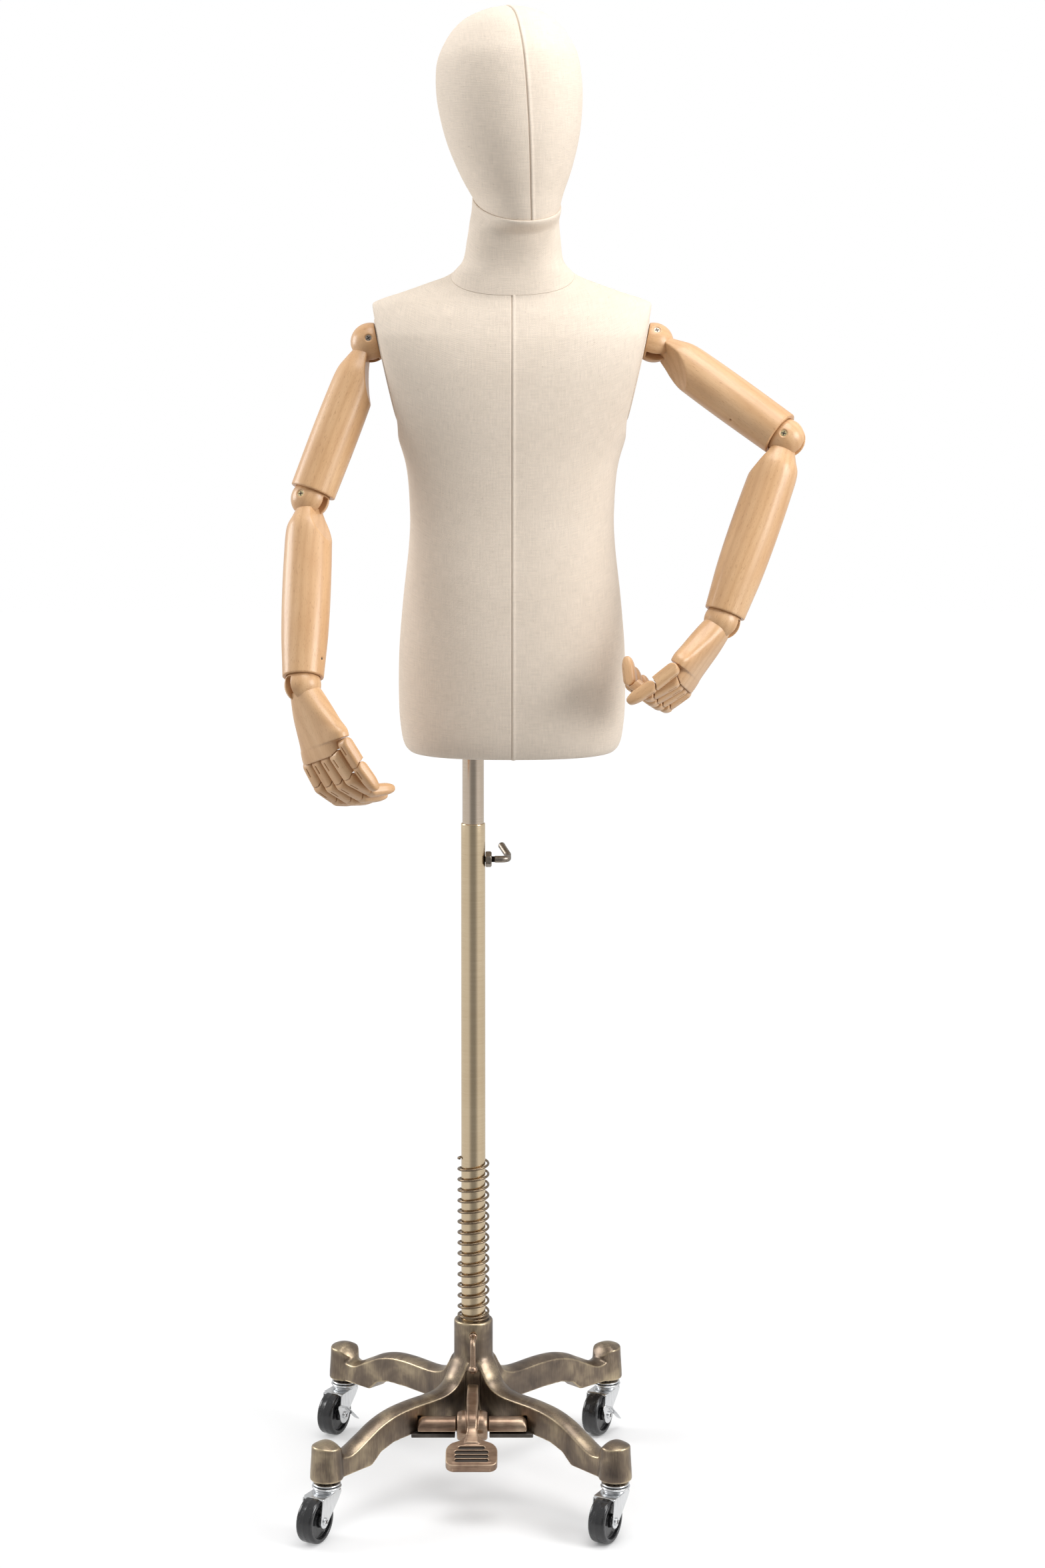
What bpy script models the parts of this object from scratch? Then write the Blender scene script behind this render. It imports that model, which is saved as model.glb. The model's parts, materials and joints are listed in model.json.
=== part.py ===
"""A life-size display mannequin on a wheeled stand.

A linen-covered head, neck and torso with jointed wooden arms stand on a telescopic pole, which is locked
by a pedal in a four-legged cast base on casters. Metres, +Z up. The mannequin faces -Y. The origin is on
the floor under the middle of the whole object, so the pole stands a little to the side of it.
"""

import math

import bmesh
import bpy
from mathutils import Matrix, Vector

for old in list(bpy.data.objects):
    bpy.data.objects.remove(old)

# ---------------------------------------------------------------- driving dimensions

GAP = 0.0004  # room between pieces that touch
POLE = Vector((-0.0815, 0.0145, 0.0))  # the pole's axis on the floor
TORSO_SHIFT = 0.045  # the torso's middle stands this far to +X of the pole

# base
LEG_REACH = 0.160  # each caster stands this far from the pole along X and along Y
BOSS_RADIUS = 0.0185
BOSS_BOTTOM, BOSS_TOP = 0.0620, 0.1040
HUB_BOTTOM, HUB_TOP = 0.0820, 0.1880
HUB_RADIUS = 0.0225
BAR_Y, BAR_Z = -0.080, 0.0912  # the pedal's crossbar, from the pole's axis
BAR_PIN = 0.0065  # its round middle, where the pedal turns
HUB_SCREW_Z = 0.1740  # the hub's lock screw
BAR_HALF = 0.0620  # half the crossbar's length

# casters
WHEEL_RADIUS, WHEEL_WIDTH = 0.0250, 0.0200
TRAIL = 0.0250  # from the stem's axis back to the wheel's axle
TRAIL_ANGLE = math.radians(242)  # where all four casters trail to, seen from above
AXLE_RADIUS = 0.0028

# pole
OUTER_RADIUS, OUTER_BORE = 0.0140, 0.0130
INNER_RADIUS, INNER_BORE = 0.0125, 0.0113
OUTER_BOTTOM, OUTER_TOP = 0.1270, 0.7670
INNER_BOTTOM, INNER_TOP = 0.5600, 0.9500
LOCK_Z = 0.7250  # the tube lock's nut and stud
LOCK_REACH, LOCK_BEND = 0.0320, 0.0080  # where the stud starts to bend, and its bend's radius

# spring
WIRE_RADIUS = 0.0014
COIL_RADIUS = 0.0173
SPRING_TOP = 0.3770
SPRING_TURNS = 15.75

# torso, neck and head
TORSO_BOTTOM = 0.8505
NECK_BOTTOM, NECK_TOP = 1.3900, 1.4850
HEAD_BOTTOM, HEAD_TOP = 1.4700, 1.7080
HEAD_TURN = math.radians(12)

# arms
SIDE_LEAN = math.radians(12.6)  # how far the torso's flat sides lean in towards the waist
SHOULDER_OUT, SHOULDER_Z = 0.1628, 1.3220  # the shoulder balls' centres, from the torso's middle
FLAT_OUT = SHOULDER_OUT - 0.0093 / math.cos(SIDE_LEAN)  # the arm plate's face, at the shoulder's height
FLAT_DOWN = 0.1370  # how far down the side its flat reaches, from the shoulder
PLATE_THICK = 0.0040
SHOULDER_RADIUS, ELBOW_RADIUS, WRIST_RADIUS = 0.0230, 0.0220, 0.0205
UPPER_LENGTH, FOREARM_LENGTH, PALM_LENGTH = 0.1945, 0.2205, 0.0885
TONGUE_WIDTH = 0.0090  # the tongues that turn in the balls' slots
SLOT_HALF = TONGUE_WIDTH / 2 + GAP
PIN = 0.0065  # a tongue's round end, and how far past the ball's middle its slot goes
DOWEL = 0.0050  # the radius of the dowels that the elbow and wrist balls turn on

# hands
FINGER_PITCH = 0.0184
FINGER_WIDTH, FINGER_THICK = 0.0174, 0.0150
FINGER_LENGTHS = (0.0300, 0.0280, 0.0270)
THUMB_LENGTHS = (0.0310, 0.0300)
KNUCKLE_CLEAR = 0.0006  # all round a finger's round end in the groove that holds it

# ---------------------------------------------------------------- materials


def material(name, colour, roughness, metallic=0.0):
    made = bpy.data.materials.new(name)
    made.use_nodes = True
    shader = made.node_tree.nodes["Principled BSDF"]
    shader.inputs["Base Color"].default_value = (*colour, 1.0)
    shader.inputs["Roughness"].default_value = roughness
    shader.inputs["Metallic"].default_value = metallic
    made.diffuse_color = (*colour, 1.0)
    return made


# what each kind of surface looks like: colour, roughness, metallic
FINISHES = {
    "linen": ((0.76, 0.69, 0.60), 0.95, 0.0),
    "beech": ((0.72, 0.46, 0.25), 0.45, 0.0),
    "bronze": ((0.24, 0.17, 0.10), 0.38, 1.0),
    "brass": ((0.62, 0.47, 0.27), 0.28, 1.0),
    "steel": ((0.60, 0.61, 0.62), 0.25, 1.0),
    "black_plastic": ((0.015, 0.015, 0.017), 0.30, 0.0),
}

# ---------------------------------------------------------------- mesh helpers


def shell(rings, closed=False):
    """A mesh through rings of points. A ring of one point is a tip. Closed joins the last to the first."""
    mesh = bmesh.new()
    made = [[mesh.verts.new(point) for point in ring] for ring in rings]
    pairs = list(zip(made, made[1:]))
    if closed:
        pairs.append((made[-1], made[0]))
    for one, two in pairs:
        count = max(len(one), len(two))
        for i in range(count):
            j = (i + 1) % count
            corners = [one[i % len(one)], one[j % len(one)], two[j % len(two)], two[i % len(two)]]
            mesh.faces.new(list(dict.fromkeys(corners)))
    if not closed:
        for ring in (made[0], made[-1]):
            if len(ring) > 2:
                mesh.faces.new(ring)
    bmesh.ops.recalc_face_normals(mesh, faces=mesh.faces)
    return mesh


def circle(radius, height, sides, centre=(0.0, 0.0)):
    turn = 2 * math.pi / sides
    return [
        Vector((centre[0] + radius * math.cos(i * turn), centre[1] + radius * math.sin(i * turn), height))
        for i in range(sides)
    ]


def turned(profile, sides, closed=False):
    """A body of revolution about Z, from points of (radius, height)."""
    return shell([[Vector((0, 0, z))] if r == 0 else circle(r, z, sides) for r, z in profile], closed)


def ball(radius, sides, rings):
    """A sphere about the origin."""
    steps = [math.pi * k / rings for k in range(rings + 1)]
    profile = [(radius * math.sin(a), radius * math.cos(a)) for a in steps]
    profile[0], profile[-1] = (0, radius), (0, -radius)
    return turned(profile, sides)


def drill(radius, low, high, sides):
    """A cutter for a round hole along Z."""
    return turned([(0, high), (radius, high), (radius, low), (0, low)], sides)


def block(low, high):
    """A box between two corners."""
    (x0, y0, z0), (x1, y1, z1) = low, high
    corners = ((x0, y0), (x1, y0), (x1, y1), (x0, y1))
    return shell([[Vector((x, y, z)) for x, y in corners] for z in (z0, z1)])


def rod(start, end, radius, sides=12):
    """A straight round bar between two points."""
    return swept([Vector(start), Vector(end)], radius, sides)


def swept(path, radius, sides):
    """A round bar along a path, with flat ends. radius is a number, or one for each point of the path."""
    radii = radius if isinstance(radius, (list, tuple)) else [radius] * len(path)
    rings, across = [], None
    for i, point in enumerate(path):
        ahead = (path[min(i + 1, len(path) - 1)] - path[max(i - 1, 0)]).normalized()
        if across is None:
            across = ahead.orthogonal()
        across = (across - ahead * across.dot(ahead)).normalized()
        other = ahead.cross(across)
        turn = 2 * math.pi / sides
        rings.append(
            [
                point + radii[i] * (math.cos(k * turn) * across + math.sin(k * turn) * other)
                for k in range(sides)
            ]
        )
    return shell(rings)


def prism(outline, low, high, axis="z"):
    """An outline of (a, b) points carried from low to high along an axis: (x, y), (x, z) or (y, z) points."""
    put = {
        "x": lambda a, b, c: Vector((c, a, b)),
        "y": lambda a, b, c: Vector((a, c, b)),
        "z": lambda a, b, c: Vector((a, b, c)),
    }[axis]
    return shell([[put(a, b, c) for a, b in outline] for c in (low, high)])


def arc(centre, radius, start, end, count):
    """Points of an arc, in degrees."""
    angles = [math.radians(start + (end - start) * k / (count - 1)) for k in range(count)]
    return [(centre[0] + radius * math.cos(a), centre[1] + radius * math.sin(a)) for a in angles]


def oval(half_x, half_y, power, sides, centre, height):
    """A superellipse ring about centre: power 2 is an ellipse, more is squarer."""
    ring = []
    for i in range(sides):
        a = 2 * math.pi * i / sides
        c, s = math.cos(a), math.sin(a)
        x = math.copysign(abs(c) ** (2 / power), c) * half_x
        y = math.copysign(abs(s) ** (2 / power), s) * half_y
        ring.append(Vector((centre[0] + x, centre[1] + y, height)))
    return ring


# ---------------------------------------------------------------- object helpers

MATERIALS = {name: material(name, *values) for name, values in FINISHES.items()}
FRAMES = {}  # each object's place in the world, by name


def add(name, mesh, finish, frame=None, parent=None, corner=35):
    """An object from a mesh made about its own origin, put in its frame and hung on its parent."""
    data = bpy.data.meshes.new(name)
    mesh.to_mesh(data)
    mesh.free()
    data.materials.append(MATERIALS[finish])
    data.shade_smooth()
    data.set_sharp_from_angle(angle=math.radians(corner))
    made = bpy.data.objects.new(name, data)
    bpy.context.scene.collection.objects.link(made)
    FRAMES[name] = frame.copy() if frame else Matrix.Translation(POLE)
    if parent:
        made.parent = bpy.data.objects[parent]
        made.matrix_parent_inverse = FRAMES[parent].inverted()
    made.matrix_basis = FRAMES[name]
    return made


def tool(target, mesh, operation, name):
    """A hidden body that is cut from, or joined to, its target, in the target's own frame."""
    data = bpy.data.meshes.new(name)
    mesh.to_mesh(data)
    mesh.free()
    helper = bpy.data.objects.new(name, data)
    bpy.context.scene.collection.objects.link(helper)
    helper.hide_render = True
    helper.display_type = "WIRE"
    helper.matrix_basis = FRAMES[target.name]
    step = target.modifiers.new(name, "BOOLEAN")
    step.operation = operation
    step.solver = "EXACT"
    step.object = helper


def cut(target, mesh, name):
    tool(target, mesh, "DIFFERENCE", f"{target.name}_{name}")


def join(target, mesh, name):
    tool(target, mesh, "UNION", f"{target.name}_{name}")


def axes_frame(origin, up, back):
    """A frame with its Z axis along up and its Y axis as near to back as it can be."""
    z = Vector(up).normalized()
    y = Vector(back)
    y = (y - z * y.dot(z)).normalized()
    x = y.cross(z)
    frame = Matrix((x, y, z)).transposed().to_4x4()
    frame.translation = origin
    return frame


def at_pole(x=0.0, y=0.0, z=0.0):
    return Matrix.Translation(POLE + Vector((x, y, z)))


# ---------------------------------------------------------------- base

LEG_LENGTH = LEG_REACH * math.sqrt(2)
# the leg's sections: how far along from the pole's axis, top, underside and half width
LEG_STATIONS = [
    (0.010, 0.1500, 0.0830, 0.0150),
    (0.027, 0.1420, 0.0830, 0.0146),
    (0.038, 0.1265, 0.0830, 0.0132),
    (0.066, 0.1172, 0.0830, 0.0118),
    (0.105, 0.1168, 0.0825, 0.0118),
    (0.135, 0.1138, 0.0805, 0.0118),
    (0.155, 0.1090, 0.0745, 0.0118),
    (0.171, 0.1020, 0.0632, 0.0120),
    (0.199, 0.0915, 0.0622, 0.0124),
    (0.218, 0.0925, 0.0622, 0.0124),
]


def leg_section(along, top, under, half):
    """A round-topped section that tapers a little towards its top."""
    crown = min(0.010, (top - under) * 0.35)
    right = [(half, under), (half - 0.0012, top - crown), (half * 0.62, top - crown * 0.25)]
    outline = right + [(0.0, top)] + [(-y, z) for y, z in reversed(right)]
    return [Vector((along, y, z)) for y, z in outline]


def build_base():
    hub = turned(
        [
            (0.0, HUB_TOP),
            (HUB_RADIUS - 0.0030, HUB_TOP),
            (HUB_RADIUS - 0.0008, HUB_TOP - 0.0012),
            (HUB_RADIUS, HUB_TOP - 0.0040),
            (HUB_RADIUS + 0.0022, 0.1400),
            (HUB_RADIUS + 0.0060, 0.1220),
            (HUB_RADIUS + 0.0075, 0.1000),
            (HUB_RADIUS + 0.0065, HUB_BOTTOM),
            (0.0, HUB_BOTTOM),
        ],
        20,
    )
    base = add("base_casting", hub, "bronze", at_pole())
    for k in range(4):
        turn = Matrix.Rotation(math.radians(45 + 90 * k), 4, "Z")
        leg = shell([leg_section(*station) for station in LEG_STATIONS])
        leg.transform(turn)
        join(base, leg, f"leg_{k}")
        boss = turned(
            [
                (0.0, BOSS_TOP),
                (0.0080, BOSS_TOP - 0.0008),
                (0.0135, BOSS_TOP - 0.0034),
                (0.0165, BOSS_TOP - 0.0085),
                (BOSS_RADIUS, BOSS_BOTTOM + 0.0030),
                (BOSS_RADIUS - 0.0010, BOSS_BOTTOM),
                (0.0, BOSS_BOTTOM),
            ],
            14,
        )
        boss.transform(turn @ Matrix.Translation((LEG_LENGTH, 0, 0)))
        join(base, boss, f"boss_{k}")
    web = prism([(-0.070, -0.088), (0.070, -0.088), (0.040, -0.030), (-0.040, -0.030)], 0.0806, 0.0850)
    join(base, web, "web")
    # the pedal's tail and sleeve pass through the web and the front of the hub
    cut(base, block((-0.0195, -0.105, 0.070), (0.0195, -0.0440, 0.090)), "sleeve_slot")
    cut(base, block((-0.0075, -0.060, 0.075), (0.0075, -0.0120, 0.1340)), "tail_slot")
    cut(base, drill(OUTER_RADIUS + GAP, 0.06, 0.25, 20), "bore")
    for k in range(4):
        centre = Matrix.Rotation(math.radians(45 + 90 * k), 4, "Z") @ Vector((LEG_LENGTH, 0, 0))
        bore = rod((centre.x, centre.y, 0.050), (centre.x, centre.y, 0.0930), 0.0054, 8)
        cut(base, bore, f"stem_socket_{k}")
    cut(base, rod((0, -0.040, HUB_SCREW_Z), (0, -0.005, HUB_SCREW_Z), 0.0036, 8), "screw_hole")
    seat = prism(bar_outline(GAP), -BAR_HALF - GAP, BAR_HALF + GAP, "x")
    seat.transform(Matrix.Translation((0, BAR_Y, BAR_Z)))
    cut(base, seat, "bar_seat")


def bar_outline(spare):
    """The crossbar's half-round section, with some spare all round."""
    return arc((0, 0), 0.0105 + spare, 0, 180, 9) + [
        (-0.0105 - spare, -0.0035 - spare),
        (0.0105 + spare, -0.0035 - spare),
    ]


def build_crossbar():
    """Half-round covers either side of the pedal, on a round pin that carries the pedal's sleeve."""
    sleeve = 0.0182
    bar = rod((-sleeve - 0.001, 0, 0), (sleeve + 0.001, 0, 0), BAR_PIN, 14)
    made = add("pedal_crossbar", bar, "bronze", at_pole(0, BAR_Y, BAR_Z), "base_casting")
    for side in (-1, 1):
        ends = sorted((side * sleeve, side * BAR_HALF))
        join(made, prism(bar_outline(0), ends[0], ends[1], "x"), f"cover_{side + 1}")


def build_pedal():
    """Pad, arm, sleeve and tail in one piece, with its origin on the crossbar's axis."""
    sleeve_half = 0.0174
    outline = arc((0, 0), 0.0165, 15, 165, 9) + arc((0, 0), 0.0165, 195, 345, 9)
    frame = at_pole(0, BAR_Y, BAR_Z)
    pedal = add("foot_pedal", prism(outline, -sleeve_half, sleeve_half, "x"), "bronze", frame, "base_casting")
    # a bent flat arm: tail up towards the pole, then over the sleeve and down to the pad
    spine = [(0.0460, 0.0285), (0.0320, 0.0275), (0.0140, 0.0205), (0.0000, 0.0165), (-0.0125, 0.0115)]
    spine += [(-0.0205, 0.0010), (-0.0350, -0.0080)]
    thick = [0.0050, 0.0070, 0.0085, 0.0085, 0.0085, 0.0080, 0.0065]
    wide = [0.0062, 0.0064, 0.0068, 0.0066, 0.0062, 0.0060, 0.0085]
    rings = []
    for (y, z), t, w in zip(spine, thick, wide):
        rings.append([Vector((x, y, z + d)) for x, d in ((-w, -t / 2), (w, -t / 2), (w, t / 2), (-w, t / 2))])
    join(pedal, shell(rings), "arm")
    pad = []
    for x, y in arc((0.0205, -0.0075), 0.0075, -90, 0, 4) + arc((0.0125, 0.0105), 0.0150, 0, 70, 4):
        pad.append((x, y))
    pad = pad + [(-x, y) for x, y in reversed(pad)]
    plate = prism(pad, -0.0055, 0.0045)
    tilt = Matrix.Translation((0, -0.0515, -0.0175)) @ Matrix.Rotation(math.radians(24), 4, "X")
    plate.transform(tilt)
    join(pedal, plate, "pad")
    for k in range(4):
        half = 0.0165 if k else 0.0125
        y = 0.0110 - 0.0062 * k
        slot = prism(
            arc((half, y), 0.0018, -90, 90, 5) + arc((-half, y), 0.0018, 90, 270, 5), 0.0020, 0.0080
        )
        slot.transform(tilt)
        cut(pedal, slot, f"grip_slot_{k}")
    cut(pedal, rod((-0.03, 0, 0), (0.03, 0, 0), BAR_PIN + GAP, 14), "bore")


def build_hub_screw():
    """A bent rod: its threaded end points along -Y out of the hub, then it hangs down to an end collar."""
    path = [Vector((0, 0.0105, 0)), Vector((0, -0.0085, 0))]
    path += [Vector((0, -0.0085 + y, z)) for y, z in arc((0, -0.0070), 0.0070, 90, 180, 5)[1:]]
    path += [Vector((0, -0.0155, -0.0310))]
    frame = at_pole(0, -0.0265, HUB_SCREW_Z)
    screw = add("hub_lock_screw", swept(path, 0.0032, 10), "bronze", frame, "base_casting")
    collar = turned([(0, 0.0035), (0.0042, 0.0035), (0.0054, 0.0), (0.0042, -0.0035), (0, -0.0035)], 12)
    collar.transform(Matrix.Translation((0, -0.0155, -0.0320)))
    join(screw, collar, "collar")


# ---------------------------------------------------------------- casters


def build_caster(corner, x, y, braked):
    back = Vector((math.cos(TRAIL_ANGLE), math.sin(TRAIL_ANGLE), 0))
    swivel = axes_frame(POLE + Vector((x, y, 0)), (0, 0, 1), -back)  # local -Y is where the caster trails
    stem = turned(
        [
            (0.0, 0.0920),
            (0.0050, 0.0920),
            (0.0050, BOSS_BOTTOM - GAP),
            (0.0092, BOSS_BOTTOM - GAP),
            (0.0092, 0.0588),
            (0.0145, 0.0580),
            (0.0158, 0.0562),
            (0.0040, 0.0562),
            (0.0040, 0.0448),
            (0.0060, 0.0440),
            (0.0, 0.0432),
        ],
        12,
    )
    add(f"caster_stem_{corner}", stem, "steel", swivel, "base_casting")
    cup = turned(
        [
            (0.0045, 0.0556),
            (0.0160, 0.0556),
            (0.0168, 0.0538),
            (0.0146, 0.0515),
            (0.0110, 0.0465),
            (0.0045, 0.0465),
        ],
        14,
        closed=True,
    )
    fork = add(f"caster_fork_{corner}", cup, "steel", swivel, "base_casting")
    inner, sheet = WHEEL_WIDTH / 2 + 0.0016, 0.0018
    outline = arc((-TRAIL, WHEEL_RADIUS), 0.0080, 225, 345, 4)
    outline += [(0.0090, 0.0440), (0.0100, 0.0500), (-0.0100, 0.0500), (-0.0210, 0.0440)]
    for side in (-1, 1):
        ends = sorted((side * inner, side * (inner + sheet)))
        join(fork, prism(outline, ends[0], ends[1], "x"), f"leg_{side + 1}")
    reach = inner + sheet + (0.0016 if not braked else 0.0046)
    axle = rod((-inner - sheet - 0.0016, -TRAIL, WHEEL_RADIUS), (reach, -TRAIL, WHEEL_RADIUS), AXLE_RADIUS, 8)
    join(fork, axle, "axle")
    hub = WHEEL_WIDTH / 2 + 0.0010
    half = WHEEL_WIDTH / 2
    wheel = turned(
        [
            (AXLE_RADIUS + GAP, -hub),
            (0.0065, -hub),
            (0.0070, -0.0060),
            (0.0190, -half),
            (0.0232, -half),
            (WHEEL_RADIUS, -half + 0.0035),
            (WHEEL_RADIUS, half - 0.0035),
            (0.0232, half),
            (0.0190, half),
            (0.0070, 0.0060),
            (0.0065, hub),
            (AXLE_RADIUS + GAP, hub),
        ],
        16,
        closed=True,
    )
    wheel.transform(Matrix.Rotation(math.pi / 2, 4, "Y"))
    spin = swivel @ Matrix.Translation((0, -TRAIL, WHEEL_RADIUS))
    add(f"caster_wheel_{corner}", wheel, "black_plastic", spin, f"caster_fork_{corner}")
    if braked:
        build_brake(corner, spin, inner + sheet + GAP)


def build_brake(corner, spin, side):
    """A stamped lever on the end of the axle, with a tongue that a toe presses down."""
    plate = arc((0, 0), 0.0105, 15, 285, 11) + [(0.0140, -0.0100), (0.0310, -0.0085), (0.0300, -0.0035)]
    # outline points are (along the wheel, up), so the tongue points ahead of the axle
    lever = add(
        f"brake_lever_{corner}",
        prism(plate, side, side + 0.0020, "x"),
        "steel",
        spin,
        f"caster_fork_{corner}",
    )
    edge = [(0.0005, -0.0090), (0.0100, -0.0150), (0.0100, -0.0132), (0.0020, -0.0070)]
    toe_plate = prism([(side + x, z) for x, z in edge], 0.0180, 0.0305, "y")
    join(lever, toe_plate, "toe_plate")
    cut(lever, rod((0, 0, 0), (0.05, 0, 0), AXLE_RADIUS + GAP, 12), "bore")


# ---------------------------------------------------------------- pole


def build_pole():
    outer = turned(
        [
            (OUTER_BORE, OUTER_BOTTOM),
            (OUTER_RADIUS, OUTER_BOTTOM),
            (OUTER_RADIUS, OUTER_TOP - 0.0006),
            (OUTER_RADIUS - 0.0003, OUTER_TOP),
            (OUTER_BORE, OUTER_TOP),
        ],
        24,
        closed=True,
    )
    tube = add("outer_tube", outer, "brass", at_pole(), "base_casting")
    cut(tube, rod((0.005, 0, LOCK_Z), (0.020, 0, LOCK_Z), 0.0040 + GAP, 10), "screw_hole")
    inner = turned(
        [
            (INNER_BORE, INNER_BOTTOM),
            (INNER_RADIUS, INNER_BOTTOM),
            (INNER_RADIUS, INNER_TOP),
            (INNER_BORE, INNER_TOP),
        ],
        24,
        closed=True,
    )
    add("inner_tube", inner, "brass", at_pole(), "outer_tube")

    nut_half = 0.0092
    corners = [
        (nut_half * math.cos(math.radians(60 * k + 30)), nut_half * math.sin(math.radians(60 * k + 30)))
        for k in range(6)
    ]
    start = OUTER_RADIUS + GAP
    frame = at_pole(0, 0, LOCK_Z)
    nut = add("tube_lock_nut", prism(corners, start, start + 0.0070, "x"), "brass", frame, "outer_tube")
    cut(nut, rod((0, 0, 0), (0.04, 0, 0), 0.0040 + GAP, 12), "bore")
    # the stud runs out along X, bends back and ends in a thumb rest that slopes up and in
    path = [Vector((INNER_RADIUS + GAP, 0, 0))]
    path += [Vector((x, y, 0)) for x, y in arc((LOCK_REACH, LOCK_BEND), LOCK_BEND, -90, 0, 4)]
    path += [Vector((0.0400, 0.0130, 0.0030)), Vector((0.0330, 0.0260, 0.0110))]
    add("tube_lock_screw", swept(path, 0.0040, 12), "brass", frame, "outer_tube")


def build_spring():
    """An open coil with a closed first turn, resting on the hub, and a top end bent in to the tube."""
    per_turn = 9
    bottom = HUB_TOP + WIRE_RADIUS + GAP
    count = int(SPRING_TURNS * per_turn)
    path = []
    for k in range(count + 1):
        turns = k / per_turn
        rise = (SPRING_TOP - bottom) - 2.2 * WIRE_RADIUS
        open_part = max(0.0, turns - 1.0) / (SPRING_TURNS - 1.0)
        height = bottom + 2.2 * WIRE_RADIUS * min(turns, 1.0) + rise * open_part
        a = 2 * math.pi * (turns - SPRING_TURNS + 0.5)
        path.append(Vector((COIL_RADIUS * math.cos(a), COIL_RADIUS * math.sin(a), height)))
    hook = OUTER_RADIUS + WIRE_RADIUS + GAP
    path.append(Vector((-hook, -0.0035, path[-1].z + 0.0008)))
    add("lift_spring", swept(path, WIRE_RADIUS, 4), "brass", at_pole(), "base_casting")


# ---------------------------------------------------------------- torso, neck and head

# height: half width, half depth, and how far the middle lies behind the pole
TORSO_STATIONS = [
    (0.8505, 0.1120, 0.0800, 0.004),
    (0.8525, 0.1180, 0.0860, 0.004),
    (0.8600, 0.1240, 0.0920, 0.004),
    (0.8750, 0.1277, 0.0965, 0.004),
    (0.9060, 0.1304, 0.0990, 0.004),
    (0.9680, 0.1300, 0.0985, 0.002),
    (1.0300, 0.1250, 0.0935, -0.001),
    (1.0910, 0.1184, 0.0870, -0.003),
    (1.1300, 0.1174, 0.0850, -0.003),
    (1.1840, 0.1226, 0.0880, -0.001),
    (1.2050, 0.1300, 0.0900, 0.000),
    (1.2310, 0.1400, 0.0930, 0.002),
    (1.2620, 0.1520, 0.0950, 0.004),
    (1.2930, 0.1620, 0.0940, 0.005),
    (1.3220, 0.1680, 0.0890, 0.006),
    (1.3480, 0.1700, 0.0790, 0.007),
    (1.3640, 0.1660, 0.0700, 0.008),
    (1.3725, 0.1500, 0.0650, 0.008),
    (1.3800, 0.1270, 0.0640, 0.008),
    (1.3900, 0.0990, 0.0630, 0.007),
    (1.4010, 0.0720, 0.0600, 0.005),
    (1.4160, 0.0580, 0.0575, 0.003),
    (1.4600, 0.0520, 0.0560, -0.002),
]
NECK_STATIONS = [
    (1.3550, 0.1000, 0.0700, 0.009),
    (1.3700, 0.0860, 0.0680, 0.009),
    (1.3850, 0.0770, 0.0645, 0.007),
    (1.4010, 0.0700, 0.0600, 0.005),
    (1.4160, 0.0580, 0.0575, 0.003),
    (1.4400, 0.0538, 0.0565, 0.000),
    (1.4650, 0.0510, 0.0560, -0.003),
    (1.5100, 0.0485, 0.0555, -0.006),
]
HEAD_STATIONS = [
    (1.4400, 0.0330, 0.0500, -0.022),
    (1.4600, 0.0400, 0.0580, -0.020),
    (1.4760, 0.0455, 0.0640, -0.017),
    (1.4880, 0.0500, 0.0690, -0.014),
    (1.5160, 0.0624, 0.0800, -0.009),
    (1.5340, 0.0694, 0.0865, -0.006),
    (1.5530, 0.0745, 0.0915, -0.003),
    (1.5900, 0.0812, 0.0975, 0.002),
    (1.6180, 0.0828, 0.0990, 0.005),
    (1.6460, 0.0802, 0.0960, 0.007),
    (1.6640, 0.0732, 0.0880, 0.008),
    (1.6830, 0.0605, 0.0735, 0.008),
    (1.6950, 0.0465, 0.0575, 0.008),
    (1.7030, 0.0280, 0.0350, 0.008),
    (1.7075, 0.0090, 0.0110, 0.008),
]
# the neck meets the torso on a sloping plane: its height at the middle, and its slope
NECK_SEAM = (1.4010, 0.46)
HEAD_SEAM = (1.4830, 0.34)  # so does the head on the neck
HEAD_MIDDLE = TORSO_SHIFT + 0.0050


def slope_normal(slope):
    return Vector((0, -slope, 1)).normalized()


def half_space(middle, seam, above, offset):
    """A big block on one side of a sloping seam plane, that much beyond it."""
    height, slope = seam
    normal = slope_normal(slope)
    size = 0.4
    low, high = (0.0, size) if above else (-size, 0.0)
    mesh = block((-size, -size, low), (size, size, high))
    point = Vector((middle, 0, height)) + normal * offset
    mesh.transform(Matrix.Translation(point) @ Matrix.Rotation(math.atan(slope), 4, "X"))
    return mesh


def body_shell(stations, middles, power, sides):
    """Ovals stacked up Z. middles is the sideways place of the lowest and of the highest oval."""
    rings = []
    span = stations[-1][0] - stations[0][0]
    for z, half_x, half_y, back in stations:
        share = (z - stations[0][0]) / span
        middle = middles[0] + (middles[1] - middles[0]) * share
        rings.append(oval(half_x, half_y, power, sides, (middle, back), z))
    return shell(rings)


def side_frame(side, height, out):
    """A frame on the torso's flat side: Z points out of the side, X lies up the side."""
    normal = Vector((side * math.cos(SIDE_LEAN), 0, -math.sin(SIDE_LEAN)))
    point = POLE + Vector((TORSO_SHIFT + side * out, 0, height))
    return axes_frame(point, normal, (0, 1, 0))


def plate_outline(side, spare):
    """The oval plate let into the flat side, with its middle a little below the shoulder."""
    turns = [2 * math.pi * k / 24 for k in range(24)]
    down = 0.0320 * side
    return [(down + (0.0600 + spare) * math.cos(a), 0.004 + (0.0330 + spare) * math.sin(a)) for a in turns]


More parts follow.
